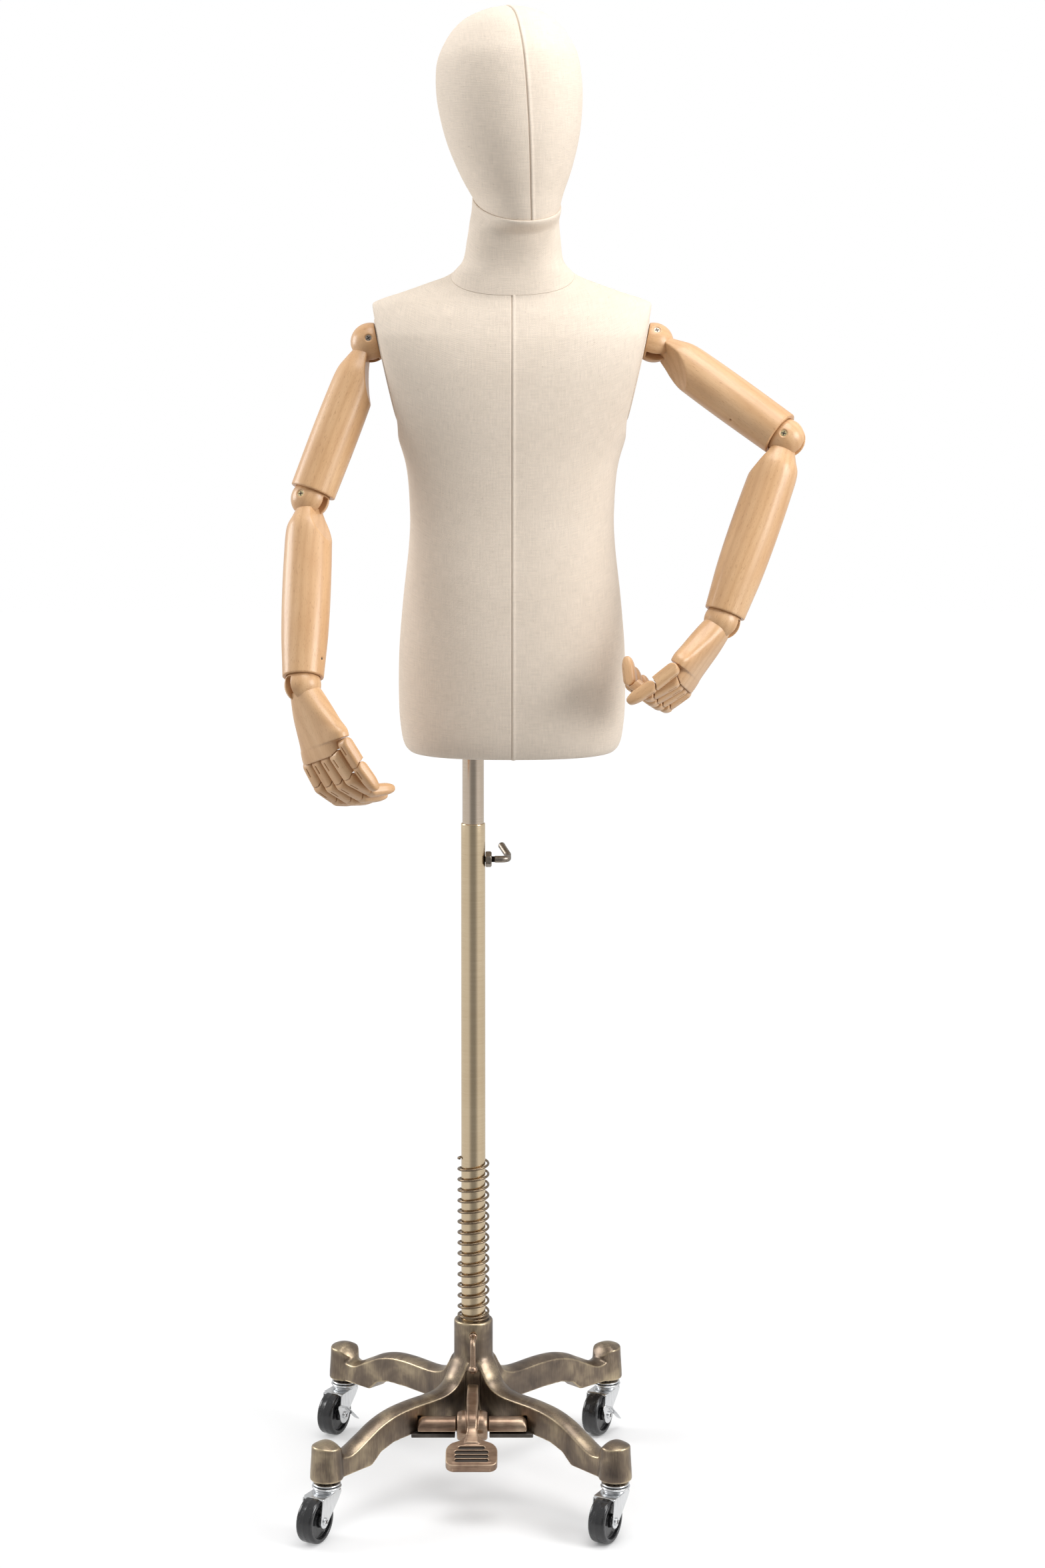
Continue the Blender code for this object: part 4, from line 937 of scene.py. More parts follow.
def joint_screws(thing, radius, finish):
    """A screw through the slot's cheeks, its head sunk in the ball's front."""
    head = turned(
        [(0.0001, 0.0), (0.0036, 0.0), (0.0040, -0.0006), (0.0040, -0.0030), (0.0001, -0.0030)][::-1], 32
    )
    place = Matrix.Translation((0, -radius + 0.0016, 0)) @ Matrix.Rotation(math.pi / 2, 4, "X")
    inlaid(thing, moved(head, place), finish)
    # the cross in the head is a dark inlay: painted shade in its recess
    for turn in (0.35, 0.35 + math.pi / 2):
        bar = block((-0.0026, -0.0005, 0.0001), (0.0026, 0.0005, 0.0003))
        inlaid(thing, moved(bar, place @ Matrix.Rotation(turn, 4, "Z")), PAINTED_SHADE)


def screw_pocket(radius):
    return rod((0, -radius - 0.01, 0), (0, -radius + 0.0018, 0), 0.0044, 40)


def build_ball(word, name, radius, matrix, body, screw, dowel):
    shapes = [moved(ball(radius, 72, 48), Matrix.Rotation(math.pi / 2, 4, "X"))]
    if dowel:
        shapes.append(rod((0, 0, 0.0), (0, 0, radius + 0.0120), DOWEL))
    thing = fused(f"{name}_wood", shapes, BALL_VOXEL)
    if dowel:
        cuts = [block((-0.05, -SLOT_HALF, -0.05), (0.05, SLOT_HALF, PIN))]
    else:
        cuts = [
            block((-0.05, -0.05, -0.05), (0.05, 0.05, -0.0090)),
            block((-0.05, -SLOT_HALF, -PIN), (0.05, SLOT_HALF, 0.05))
        ]
    cuts.append(screw_pocket(radius))
    softened(carved(thing, cuts), BALL_VOXEL * 0.75, 4)
    wooden(thing, matrix, body, name)
    joint_screws(thing, radius, screw)


def build_limb(name, matrix, body, stations, scoop, ball_radius, end_radius, length, pin_hole):
    """A limb with a scooped top, a tongue for the ball above and a cup for the ball below."""
    side = -SIDES[name.rsplit("_", 1)[1]]
    thing = loose(f"{name}_wood", limb(stations))
    reach, offset, lift = scoop
    scooped = moved(
        rod((0, -0.06, 0), (0, 0.06, 0), reach, 200), Matrix.Translation((side * offset, 0, lift))
    )
    hole = rod((side * 0.012, 0, -pin_hole), (side * 0.04, 0, -pin_hole), 0.0016, 24)
    carved(thing, [scooped, ball(ball_radius + 0.0008, 72, 36), cup(end_radius, length), hole])
    points = [tuple(v.co) for v in thing.data.vertices]
    faces = [tuple(f.vertices) for f in thing.data.polygons]
    bpy.data.objects.remove(thing)
    thing = fused(f"{name}_wood", [(points, faces), tongue(0.0300, 0.0062)], LIMB_VOXEL)
    softened(thing, LIMB_VOXEL, 5)
    wooden(thing, matrix, body, name)
    # a dark rod inside the pin hole: painted shade in the hole
    dark = rod((side * 0.014, 0, -pin_hole), (side * 0.0235, 0, -pin_hole), 0.0014, 20)
    inlaid(thing, dark, PAINTED_SHADE)


UPPER_END, FORE_END = 0.1945 - 0.0085, 0.2205 - 0.0085
UPPER_ARM = [
    (0.0100, 0.0135, 0.0150),
    (0.0250, 0.0195, 0.0200),
    (0.0420, 0.0248, 0.0250),
    (0.0700, 0.0263, 0.0262),
    (0.1200, 0.0268, 0.0265),
    (UPPER_END, 0.0262, 0.0260),
]
FOREARM = [
    (0.0110, 0.0140, 0.0150),
    (0.0220, 0.0190, 0.0200),
    (0.0360, 0.0255, 0.0250),
    (0.0650, 0.0272, 0.0262),
    (0.1150, 0.0276, 0.0265),
    (0.1600, 0.0266, 0.0258),
    (FORE_END - 0.0180, 0.0243, 0.0240),
    (FORE_END, 0.0230, 0.0230),
]

# ---------------------------------------------------------------- hands

PALM_LENGTH = 0.0885
FINGER_WIDTH, FINGER_THICK = 0.0174, 0.0150
FINGER_SIZES = {"index": (1.00, 0), "middle": (1.05, -2), "ring": (1.00, -4), "little": (0.88, -7)}
FINGER_LENGTHS = (0.0300, 0.0280, 0.0270)
THUMB_LENGTHS = (0.0310, 0.0300)
FINGER_BENDS = {"right": (21, 31, 30), "left": (29, 66, 44)}


def hand_ring(flip, along, across_low, across_high, back, front, power=2.8, sides=64):
    a = np.linspace(0, 2 * math.pi, sides, endpoint=False)
    x, y = oval((front - back) / 2, (across_high - across_low) / 2, power, a)
    return np.stack(
        [x + flip * (front + back) / 2, y + (across_low + across_high) / 2, np.full(sides, -along)], axis=1
    )


def knuckle_groove(along, half_width, radius=FINGER_THICK / 2 + 0.0006):
    outline = arc((0, -along), radius, 0, 350, 36)
    return prism(outline, -half_width, half_width, "y")


def palm_side_relief(flip, along, half_width):
    low, high = sorted((flip * 0.0020, flip * 0.0200))
    return block((low, -half_width, -along - 0.012), (high, half_width, -along + FINGER_THICK / 2 + 0.0012))


def build_palm(word, matrix):
    flip = SIDES[word]
    length = PALM_LENGTH - 0.0025
    stations = [
        (0.0060, -0.0170, 0.0180, -0.0150, 0.0150, 2.2),
        (0.0140, -0.0195, 0.0215, -0.0155, 0.0165, 2.4),
        (0.0320, -0.0255, 0.0300, -0.0145, 0.0170, 2.8),
        (0.0500, -0.0300, 0.0400, -0.0130, 0.0165, 2.8),
        (0.0620, -0.0325, 0.0490, -0.0120, 0.0155, 2.8),
        (0.0700, -0.0340, 0.0500, -0.0115, 0.0145, 2.8),
        (0.0702, -0.0340, 0.0370, -0.0110, 0.0110, 2.8),
        (0.0780, -0.0355, 0.0366, -0.0105, 0.0100, 2.8),
        (length, -0.0365, 0.0365, -0.0095, 0.0085, 2.8),
    ]
    smooth = [hand_ring(flip, *station) for station in curve_through(stations[:6], 40)]
    smooth += [hand_ring(flip, *station) for station in stations[6:]]
    points, faces = skin(np.array(smooth)[::-1])
    thing = fused(f"palm_{word}_wood", [(points, faces)], 0.0007)
    cuts = [
        ball(WRIST_RADIUS + 0.0008, 72, 36), knuckle_groove(PALM_LENGTH, 0.06),
        palm_side_relief(flip, PALM_LENGTH, 0.06)
    ]
    carved(thing, cuts)
    points = [tuple(v.co) for v in thing.data.vertices]
    faces = [tuple(f.vertices) for f in thing.data.polygons]
    bpy.data.objects.remove(thing)
    thing = fused(f"palm_{word}_wood", [(points, faces), tongue(0.0300, 0.0062)], 0.0007)
    softened(thing, 0.0007, 4)
    wooden(thing, matrix, f"palm_{word}", f"palm_{word}")


def phalanx(flip, length, width, thick, tip):
    """A length of finger along -Z: a round end about the origin, flat faces, and a far end or a fingertip."""
    half, w = thick / 2, width / 2
    rows = []
    for a in np.linspace(math.radians(6), math.radians(84), 12):
        rows.append((-half * math.cos(a), 1.0, math.sin(a)))
    if tip:
        steps = [(0.4, 1.0, 0.97)]
        steps += [
            (0.4 + 0.6 * math.sin(t), 0.40 + 0.60 * math.cos(t) ** 0.8, 0.16 + 0.81 * math.cos(t) ** 0.9)
                  for t in np.linspace(0.2, math.pi / 2 - 0.03, 12)]
    else:
        steps = [(0.5, 1.0, 1.0), (1.0, 0.98, 0.98)]
    rows += [(length * share, wide, deep) for share, wide, deep in steps]
    rings = [
        hand_ring(flip, z, -w * wide, w * wide, -half * deep, half * deep, 3.2, 40) for z, wide,
        deep in rows
    ]
    return skin(np.array(rings)[::-1])


def joint_slot(flip, length, thick):
    """The narrow slot that a finger's flat link lies in, open at its back."""
    low, high = sorted((-flip * thick * 0.28, -flip * thick))
    return block((low, -0.0007, -length), (high, 0.0007, 0.001))


# a dark plate down in a finger's slot: painted shade in the slot
def painted_slot_shade(flip, length, thick):
    low, high = sorted((-flip * thick * 0.27, -flip * thick * 0.34))
    return block((low, -0.00068, -length + 0.0002), (high, 0.00068, 0.0))


def build_segment(name, matrix, body, flip, length, width, thick, tip, far_groove, nodes):
    thing = fused(name, [phalanx(flip, length, width, thick, tip)], FINGER_VOXEL)
    cuts = [joint_slot(flip, 0.0100, thick)]
    if far_groove is not None:
        cuts += [knuckle_groove(far_groove, 0.02), palm_side_relief(flip, far_groove, 0.02)]
    softened(carved(thing, cuts), FINGER_VOXEL, 3)
    wooden(thing, matrix, body, *nodes)
    # the slot's dark plate is painted shade
    inlaid(thing, painted_slot_shade(flip, 0.0100, thick), PAINTED_SHADE)


def bend(flip, degrees):
    return Matrix.Rotation(-flip * math.radians(degrees), 4, "Y")


def build_finger(word, name, lengths, size, bends, root, hinge, row, width):
    """Its own lengths, each on its body: the first turns on the palm, the others on the first."""
    flip = SIDES[word]
    start, second = spot(root), spot(hinge)
    first = axes_frame(start, start - second, row)
    lengths = [size * x for x in lengths]
    base = f"{name}_base"
    build_segment(
        f"{base}_wood", first, base, flip, lengths[0] - 0.0020, width, FINGER_THICK, False, lengths[0], [base]
    )
    frame = first @ Matrix.Translation((0, 0, -lengths[0])) @ bend(flip, bends[0])
    tip = f"{name}_tip"
    last = len(lengths) == 2
    if last:
        build_segment(
            f"{tip}_wood", frame, tip, flip, lengths[1], width - 0.0006, FINGER_THICK - 0.0004, True, None,
            [tip]
        )
        return
    build_segment(
        f"{name}_middle_wood", frame, tip, flip, lengths[1] - 0.0020, width - 0.0006, FINGER_THICK - 0.0004,
        False,
        lengths[1], [tip],
    )
    frame = frame @ Matrix.Translation((0, 0, -lengths[1])) @ bend(flip, bends[1])
    build_segment(
        f"{name}_end_wood", frame, tip, flip, lengths[2], width - 0.0010, FINGER_THICK - 0.0008, True, None,
        []
    )


def build_arm(word):
    side = SIDES[word]
    shoulder, elbow, wrist = spot(f"arm_raise_{word}"), spot(f"elbow_bend_{word}"), spot(f"wrist_bend_{word}")
    shoulder_pin, elbow_pin = -side * axis(f"arm_raise_{word}"), side * axis(f"elbow_bend_{word}")
    upper, fore = axis(f"elbow_twist_{word}"), axis(f"wrist_twist_{word}")
    row = -side * axis(f"wrist_bend_{word}")
    names = [
        f"{part}_{word}" for part in ("shoulder_ball", "upper_arm", "elbow_ball", "forearm", "wrist_ball")
    ]
    screws = (AGED_STEEL, SCREW_BRASS, SCREW_BRASS)
    seat = axes_frame(shoulder, SIDE_NORMAL[word], shoulder_pin)
    build_ball(word, names[0], SHOULDER_RADIUS, seat, names[0], screws[0], False)
    build_limb(
        names[1], axes_frame(shoulder, upper, shoulder_pin), names[1], UPPER_ARM, (0.130, 0.1320, 0.0070),
        SHOULDER_RADIUS, ELBOW_RADIUS, 0.1945, 0.134,
    )
    build_ball(word, names[2], ELBOW_RADIUS, axes_frame(elbow, upper, elbow_pin), names[2], screws[1], True)
    build_limb(
        names[3], axes_frame(elbow, fore, elbow_pin), names[3], FOREARM, (0.110, 0.1175, 0.0080),
        ELBOW_RADIUS, WRIST_RADIUS, 0.2205, 0.193,
    )
    build_ball(word, names[4], WRIST_RADIUS, axes_frame(wrist, fore, row), names[4], screws[2], True)
    knuckles = [spot(f"{finger}_knuckle_{word}") for finger in FINGER_SIZES]
    palm_up = wrist - sum(knuckles, Vector()) / len(knuckles)
    build_palm(word, axes_frame(wrist, palm_up, row))
    for finger, (size, _) in FINGER_SIZES.items():
        build_finger(
            word, f"{finger}_finger_{word}", FINGER_LENGTHS, size, FINGER_BENDS[word][1:],
            f"{finger}_knuckle_{word}", f"{finger}_middle_{word}", row, FINGER_WIDTH,
        )
    build_finger(
        word, f"thumb_{word}", THUMB_LENGTHS, 1.0, (5,), f"thumb_root_{word}", f"thumb_middle_{word}", row,
        0.0150
    )


for word in SIDES:
    build_arm(word)


# ---------------------------------------------------------------- base

LEG_REACH = spot("swivel_front_left").x - POLE.x  # each caster's distance from the pole, along X and along Y
LEG_LENGTH = LEG_REACH * math.sqrt(2)
HUB_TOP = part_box("lift_spring")[0].z - GAP
HUB_RADIUS = 0.0225
BOSS_BOTTOM = 0.0620
BASE_VOXEL = 0.0009
# the line along a leg's top, and the one along its underside: (distance from the pole, height)
LEG_TOP = [
    (0.0080, 0.1540),
    (0.0220, 0.1480),
    (0.0300, 0.1360),
    (0.0400, 0.1240),
    (0.0600, 0.1178),
    (0.1050, 0.1172),
    (0.1320, 0.1148),
    (0.1550, 0.1085),
    (0.1760, 0.0985),
    (0.1990, 0.0885),
    (0.2180, 0.0900),
]
LEG_UNDER = [
    (0.0, 0.0830), (0.1050, 0.0830), (0.1350, 0.0815), (0.1550, 0.0755), (0.1690, 0.0640), (0.2300, 0.0622)
]
LEG_HALF = [(0.0, 0.0140), (0.0350, 0.0126), (0.0700, 0.0118), (0.1700, 0.0118), (0.2300, 0.0128)]


def leg_shape():
    """A leg along +X from the pole: flat sides, and a crowned top with an edge either side."""
    top = curve_through(LEG_TOP, 300)
    rows = []
    for along in np.linspace(0.008, 0.218, 90):
        peak = np.interp(along, top[:, 0], top[:, 1])
        under, half = (np.interp(along, *zip(*line)) for line in (LEG_UNDER, LEG_HALF))
        crown = [(half * t, peak - 0.0050 * t**2) for t in np.linspace(1, -1, 17)]
        right, left = [(half, under), (half, under + 0.01)], [(-half, under + 0.01), (-half, under)]
        rows.append([(along, y, z) for y, z in right + crown + left])
    return skin(rows)


def boss_shape():
    """The tapered end over a caster, whose crowned top falls off towards the leg and the outside."""
    a = np.linspace(0, 2 * math.pi, 72, endpoint=False)
    walls = [(0.0178, BOSS_BOTTOM), (0.0186, BOSS_BOTTOM + 0.0012), (0.0184, 0.070), (0.0172, 0.088)]
    rows = [np.stack([r * np.cos(a), r * np.sin(a), np.full(72, z)], axis=1) for r, z in walls]
    for share in (1.0, 0.85, 0.65, 0.45, 0.25, 0.02):
        x, y = 0.0168 * share * np.cos(a), 0.0168 * share * np.sin(a)
        inward, outer = np.maximum(0, -x - 0.002), np.maximum(0, x)
        rows.append(np.stack([x, y, 0.1046 - 66 * inward**2 - 17 * outer**2 - 22 * y**2], axis=1))
    return skin(rows)


def filleted(thing, rounds, high, reach, rounds_beyond):
    """Fills creases: points move only outwards, below a height, and less beyond a reach."""
    mesh = thing.data
    count = len(mesh.vertices)
    co = np.zeros(count * 3)
    mesh.vertices.foreach_get("co", co)
    co = co.reshape(-1, 3)
    ends = np.zeros(len(mesh.edges) * 2, np.int32)
    mesh.edges.foreach_get("vertices", ends)
    one, two = ends.reshape(-1, 2).T
    degree = np.bincount(ends, minlength=count)[:, None]
    normal = np.zeros(count * 3)
    for k in range(rounds):
        if k % 20 == 0:
            mesh.vertices.foreach_set("co", co.ravel())
            mesh.update()
            mesh.vertices.foreach_get("normal", normal)
            out = normal.reshape(-1, 3)
        near = [
            np.bincount(one, co[two, c], count) + np.bincount(two, co[one, c], count)
            for c in range(3)
        ]
        push = np.stack(near, axis=1) / degree - co
        outwards = (push * out).sum(axis=1)
        free = (outwards > 0) & (co[:, 2] < high)
        if k >= rounds_beyond:
            free &= np.hypot(co[:, 0], co[:, 1]) < reach
        co[free] += push[free] * 0.6
    mesh.vertices.foreach_set("co", co.ravel())
    mesh.update()
    return thing


def bar_outline(spare):
    return arc((0, 0), 0.0105 + spare, 0, 180, 25) + [
        (-0.0105 - spare, -0.0035 - spare), (0.0105 + spare, -0.0035 - spare)
    ]


def build_base():
    seat = Matrix.Translation(POLE)
    hub = turned(
        rounded(
            [
                (0.0010, HUB_TOP),
                (HUB_RADIUS, HUB_TOP),
                (HUB_RADIUS, 0.1500),
                (HUB_RADIUS + 0.0015, 0.1200),
                (HUB_RADIUS + 0.0015, 0.0820),
                (0.0010, 0.0820),
            ],
            0.0028,
        )[::-1],
        96,
    )
    shapes = [hub]
    for k in range(4):
        turn = Matrix.Rotation(math.radians(45 + 90 * k), 4, "Z")
        shapes.append(moved(leg_shape(), turn))
        shapes.append(moved(boss_shape(), turn @ Matrix.Translation((LEG_LENGTH, 0, 0))))
    thing = filleted(fused("base_body", shapes, BASE_VOXEL), 130, HUB_TOP - 0.004, 0.080, 14)
    bar_place = spot("pedal_press") - POLE
    bar_seat = moved(prism(bar_outline(GAP), -0.0624, 0.0624, "x"), Matrix.Translation(bar_place))
    screw_z = spot("hub_screw_turn").z
    carved(
        thing,
        [
            rod((0, 0, 0.05), (0, 0, 0.25), OUTER_TUBE_RADIUS + GAP, 96),
            block((-0.0085, -0.0600, 0.0600), (0.0085, -0.0200, 0.1340)),
            bar_seat,
            rod((0, -0.040, screw_z), (0, -0.005, screw_z), 0.0038, 40),
        ],
    )
    softened(thing, BASE_VOXEL * 0.85, 2)
    show(thing, seat, "base", BRONZE, "bronze", "base_casting")
    build_under_plate(bar_place)


def build_under_plate(bar_place):
    """The rough plate under the front legs, seen along its edge below the crossbar."""
    outline = [(-0.0700, -0.0880), (0.0700, -0.0880), (0.0400, -0.0300), (-0.0400, -0.0300)]
    thing = fused("base_under_plate", [prism(outline, 0.0798, 0.0846)], 0.0009)
    notch = block((-0.0195, -0.105, 0.070), (0.0195, -0.0440, 0.090))
    softened(carved(thing, [notch]), 0.0008, 2)
    show(thing, Matrix.Translation(POLE), "base", ROUGH_PLATE, "bronze", "base_casting")


def build_crossbar():
    """Half-round covers with rounded ends, on a round pin."""
    place = Matrix.Translation(spot("pedal_press"))
    sleeve, half = 0.0186, 0.0620
    shapes = [rod((-sleeve, 0, 0), (sleeve, 0, 0), 0.0065)]
    for side in (-1, 1):
        rows = []
        for t, share in ((0.0, 1.0), (0.80, 1.0), (0.90, 0.93), (0.96, 0.78), (1.0, 0.45)):
            x = side * (sleeve + (half - sleeve) * t)
            rows.append([
                (x, y * (0.8 + 0.2 * share), max(z, -0.0035) * (share if z > 0 else 1))
                for y, z in bar_outline(0)
            ])
        shapes.append(skin(rows if side < 0 else rows[::-1]))
    thing = softened(fused("crossbar_body", shapes, 0.0006), 0.0005, 3)
    show(thing, place, "base", PEDAL_BRONZE, "bronze", "pedal_crossbar")


def pad_outline():
    corner = arc((0.0205, -0.0070), 0.0085, -90, 0, 12)
    shoulder = arc((0.0140, 0.0060), 0.0150, 0, 62, 12)
    right = corner + shoulder + [(0.0125, 0.0230), (0.0080, 0.0275)]
    return right + [(-x, y) for x, y in reversed(right)]


def build_pedal():
    """A tail, an arm over two sleeve drums, and a pad with grip slots, darkened inside with painted shade,
    and a thick front lip.
    """
    place = Matrix.Translation(spot("pedal_press"))
    spine = curve_through(
        [
            (0.0000, 0.0460, 0.0285, 0.0054, 0.0062),
            (0.0000, 0.0320, 0.0277, 0.0070, 0.0064),
            (0.0000, 0.0150, 0.0215, 0.0085, 0.0070),
            (0.0000, 0.0000, 0.0172, 0.0088, 0.0066),
            (0.0000, -0.0125, 0.0118, 0.0088, 0.0060),
            (0.0000, -0.0205, 0.0015, 0.0080, 0.0058),
            (0.0000, -0.0360, -0.0085, 0.0080, 0.0092),
        ],
        60,
    )
    way = np.gradient(spine[:, :3], axis=0)
    way /= np.linalg.norm(way, axis=1)[:, None]
    up = np.stack([np.zeros(60), way[:, 2], -way[:, 1]], axis=1)
    rows = []
    for point, u, half_thick, half_wide in zip(spine[:, :3], up, spine[:, 3] / 2, spine[:, 4]):
        x, y = oval(half_wide, half_thick, 5.0, np.linspace(0, 2 * math.pi, 48, endpoint=False))
        rows.append(point + x[:, None] * np.array([1.0, 0, 0]) + y[:, None] * u)
    shapes = [skin(rows)]
    for side in (-1, 1):
        profile = rounded(
            [(0.0001, 0.0050), (0.0164, 0.0050), (0.0168, 0.0120), (0.0150, 0.0174), (0.0001, 0.0174)],
            0.0020
        )
        drum = turned(profile[::-1], 72)
        shapes.append(moved(drum, Matrix.Rotation(side * math.pi / 2, 4, "Y")))
    shapes.append(rod((-0.0100, 0, 0), (0.0100, 0, 0), 0.0130, 60))
    tilt = Matrix.Translation((0, -0.0515, -0.0175)) @ Matrix.Rotation(math.radians(24), 4, "X")
    pad = prism(pad_outline(), -0.0055, 0.0045)
    lip = moved(rod((-0.0215, 0, 0), (0.0215, 0, 0), 0.0066, 48), Matrix.Translation((0, -0.0098, -0.0018)))
    shapes += [moved(pad, tilt), moved(lip, tilt)]
    thing = filleted(fused("pedal_body", shapes, 0.0006), 12, 1.0, 1.0, 12)
    tools = [rod((-0.03, 0, 0), (0.03, 0, 0), 0.0065 + GAP, 60)]
    for k in range(4):
        half, y = (0.0165 if k else 0.0125), 0.0110 - 0.0062 * k
        ends = arc((half, y), 0.0025, -90, 90, 12) + arc((-half, y), 0.0025, 90, 270, 12)
        tools.append(moved(prism(ends, 0.0020, 0.0120), tilt))
    softened(carved(thing, tools), 0.0005, 3)
    show(thing, place, "pedal", PEDAL_BRONZE, "pedal_bronze", "foot_pedal")
    # dark inlays down in the grip slots: painted shade in the slots
    for k in range(4):
        half, y = (0.0165 if k else 0.0125), 0.0110 - 0.0062 * k
        ends = arc((half, y), 0.0026, -90, 90, 12) + arc((-half, y), 0.0026, 90, 270, 12)
        inlaid(thing, moved(prism(ends, 0.0012, 0.0029), tilt), PAINTED_SHADE)


def build_hub_screw():
    """A bent rod out of the hub's front, with a collar on its hanging end."""
    bend_points = [(0, -0.0085 + y, z) for y, z in arc((0, -0.0070), 0.0070, 90, 180, 16)]
    path = [(0, 0.0105, 0), (0, 0.0010, 0), *bend_points, (0, -0.0155, -0.0180), (0, -0.0155, -0.0330)]
    collar = rounded(
        [(0.0001, 0.0036), (0.0042, 0.0036), (0.0056, 0.0002), (0.0044, -0.0036), (0.0001, -0.0036)], 0.0008
    )
    ring = rounded([(0.0001, 0.0), (0.0046, 0.0), (0.0046, 0.0016), (0.0001, 0.0016)], 0.0006)
    shapes = [
        swept(path, 0.0032, 32),
        moved(turned(collar[::-1], 40), Matrix.Translation((0, -0.0155, -0.0320))),
        moved(
            turned(ring, 40),
            Matrix.Translation((0, 0.0035 - 0.0025, 0)) @ Matrix.Rotation(math.pi / 2, 4, "X")
        ),
    ]
    thing = softened(fused("hub_screw_body", shapes, 0.0004), 0.0004, 3)
    place = Vector((POLE.x, POLE.y - 0.0265, spot("hub_screw_turn").z))
    show(thing, Matrix.Translation(place), "hub_screw", PEDAL_BRONZE, "bronze", "hub_lock_screw")


# ---------------------------------------------------------------- pole and spring


def hollow_tube(name, radius, bore, bottom, top):
    wall = radius - bore
    lip = [(radius, top - 0.0010), (radius - wall * 0.10, top - 0.0003), (radius - wall * 0.4, top)]
    lip += [(bore + wall * 0.3, top), (bore, top - 0.0004)]
    heights = np.linspace(bottom, top - 0.0010, 24)
    profile = [(bore, bottom)] + [(radius, z) for z in heights[:-1]] + lip
    return loose(name, turned(profile, 96, closed=True))


def build_pole():
    place = Matrix.Translation(POLE)
    outer_low, outer_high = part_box("outer_tube")
    thing = hollow_tube(
        "outer_tube_body", OUTER_TUBE_RADIUS, OUTER_TUBE_RADIUS - 0.0010, outer_low.z, outer_high.z
    )
    show(thing, place, "outer_pole", POLE_BRASS, "pole_brass", "outer_tube")
    inner_low, inner_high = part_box("inner_tube")
    radius = (inner_high.x - inner_low.x) / 2
    thing = hollow_tube("inner_tube_body", radius, radius - 0.0012, inner_low.z, inner_high.z)
    show(thing, place, "inner_pole", TUBE_SILVER, "pole_brass", "inner_tube")

    lock = Matrix.Translation((POLE.x, POLE.y, spot("tube_screw_turn").z))
    start = OUTER_TUBE_RADIUS + GAP
    flat = 0.0092 * math.cos(math.pi / 6)
    hexagon = [
        (0.0092 * math.cos(math.radians(60 * k + 30)), 0.0092 * math.sin(math.radians(60 * k + 30)))
        for k in range(6)
    ]
    nut = loose("lock_nut_body", prism(hexagon, start, start + 0.0070, "x"))
    cone = [
        (0.02, -0.001), (0.02, 0.008), (flat - 0.0002, 0.0071), (0.0093, 0.0056), (0.0093, 0.0008),
        (flat, -0.0001)
    ]
    cone = moved(
        turned(cone + [(flat, -0.001)], 64, closed=True),
        Matrix.Translation((start, 0, 0)) @ Matrix.Rotation(math.pi / 2, 4, "Y")
    )
    carved(nut, [cone, rod((0, 0, 0), (0.04, 0, 0), 0.0040 + GAP, 40)])
    show(softened(nut, 0.0004, 2), lock, "outer_pole", AGED_STEEL, "bronze", "tube_lock_nut")

    thread = []
    for x in np.arange(start - 0.001, start + 0.0115, 0.00055):
        thread += [(0.0040 - GAP, x), (0.0036 - GAP, x + 0.000275)]
    stud = turned([(0.0001, start - 0.0016), *thread, (0.0001, thread[-1][1] + 0.0002)], 40)
    bend_points = [(x, y, 0) for x, y in arc((0.0320, 0.0080), 0.0080, -90, 0, 14)]
    path = [
        (start + 0.0105, 0, 0), *bend_points, (0.0400, 0.0130, 0.0030), (0.0368, 0.0190, 0.0066),
        (0.0330, 0.0262, 0.0112)
    ]
    thing = fused(
        "lock_screw_body",
        [swept(path, 0.0040, 32), moved(ball(0.0042, 32, 16), Matrix.Translation(path[-1]))], 0.0004
    )
    softened(thing, 0.0004, 3)
    show(thing, lock, "tube_screw", AGED_STEEL, "bronze", "tube_lock_screw")
    inlaid(thing, moved(stud, Matrix.Rotation(math.pi / 2, 4, "Y")), DARK_THREAD)


SPRING_TURNS, SPRING_WIRE, SPRING_RADIUS = 15.75, 0.0014, 0.0173


def build_spring():
    """An open coil with a closed first turn. It is built at one length and does not shorten as the pole goes
    down.
    """
    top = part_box("lift_spring")[1].z - SPRING_WIRE - 0.0008
    bottom = HUB_TOP + SPRING_WIRE + GAP
    turns = np.linspace(0, SPRING_TURNS, int(SPRING_TURNS * 48))
    closed = 2.2 * SPRING_WIRE
    height = (
        bottom + closed * np.minimum(turns, 1)
        + (top - bottom - closed) * np.maximum(turns - 1, 0) / (SPRING_TURNS - 1)
    )
    a = 2 * math.pi * (turns - SPRING_TURNS + 0.5)
    path = np.stack([SPRING_RADIUS * np.cos(a), SPRING_RADIUS * np.sin(a), height], axis=1)
    hook = [(-SPRING_RADIUS + 0.0006, -0.0018, height[-1] + 0.0003), (-0.0158, -0.0036, height[-1] + 0.0006)]
    thing = loose("spring_wire", swept(np.concatenate([path, hook]), SPRING_WIRE, 12))
    thing.data.materials.append(SPRING_BRASS)
    thing.matrix_world = Matrix.Translation(POLE)
    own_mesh(thing)
    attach(thing, "base")
    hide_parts("lift_spring")


# ---------------------------------------------------------------- casters

WHEEL_RADIUS, WHEEL_HALF, TRAIL = 0.0250, 0.0100, 0.0250
SHEET, FORK_INNER = 0.0018, 0.0116
CORNERS = ("front_right", "front_left", "rear_right", "rear_left")


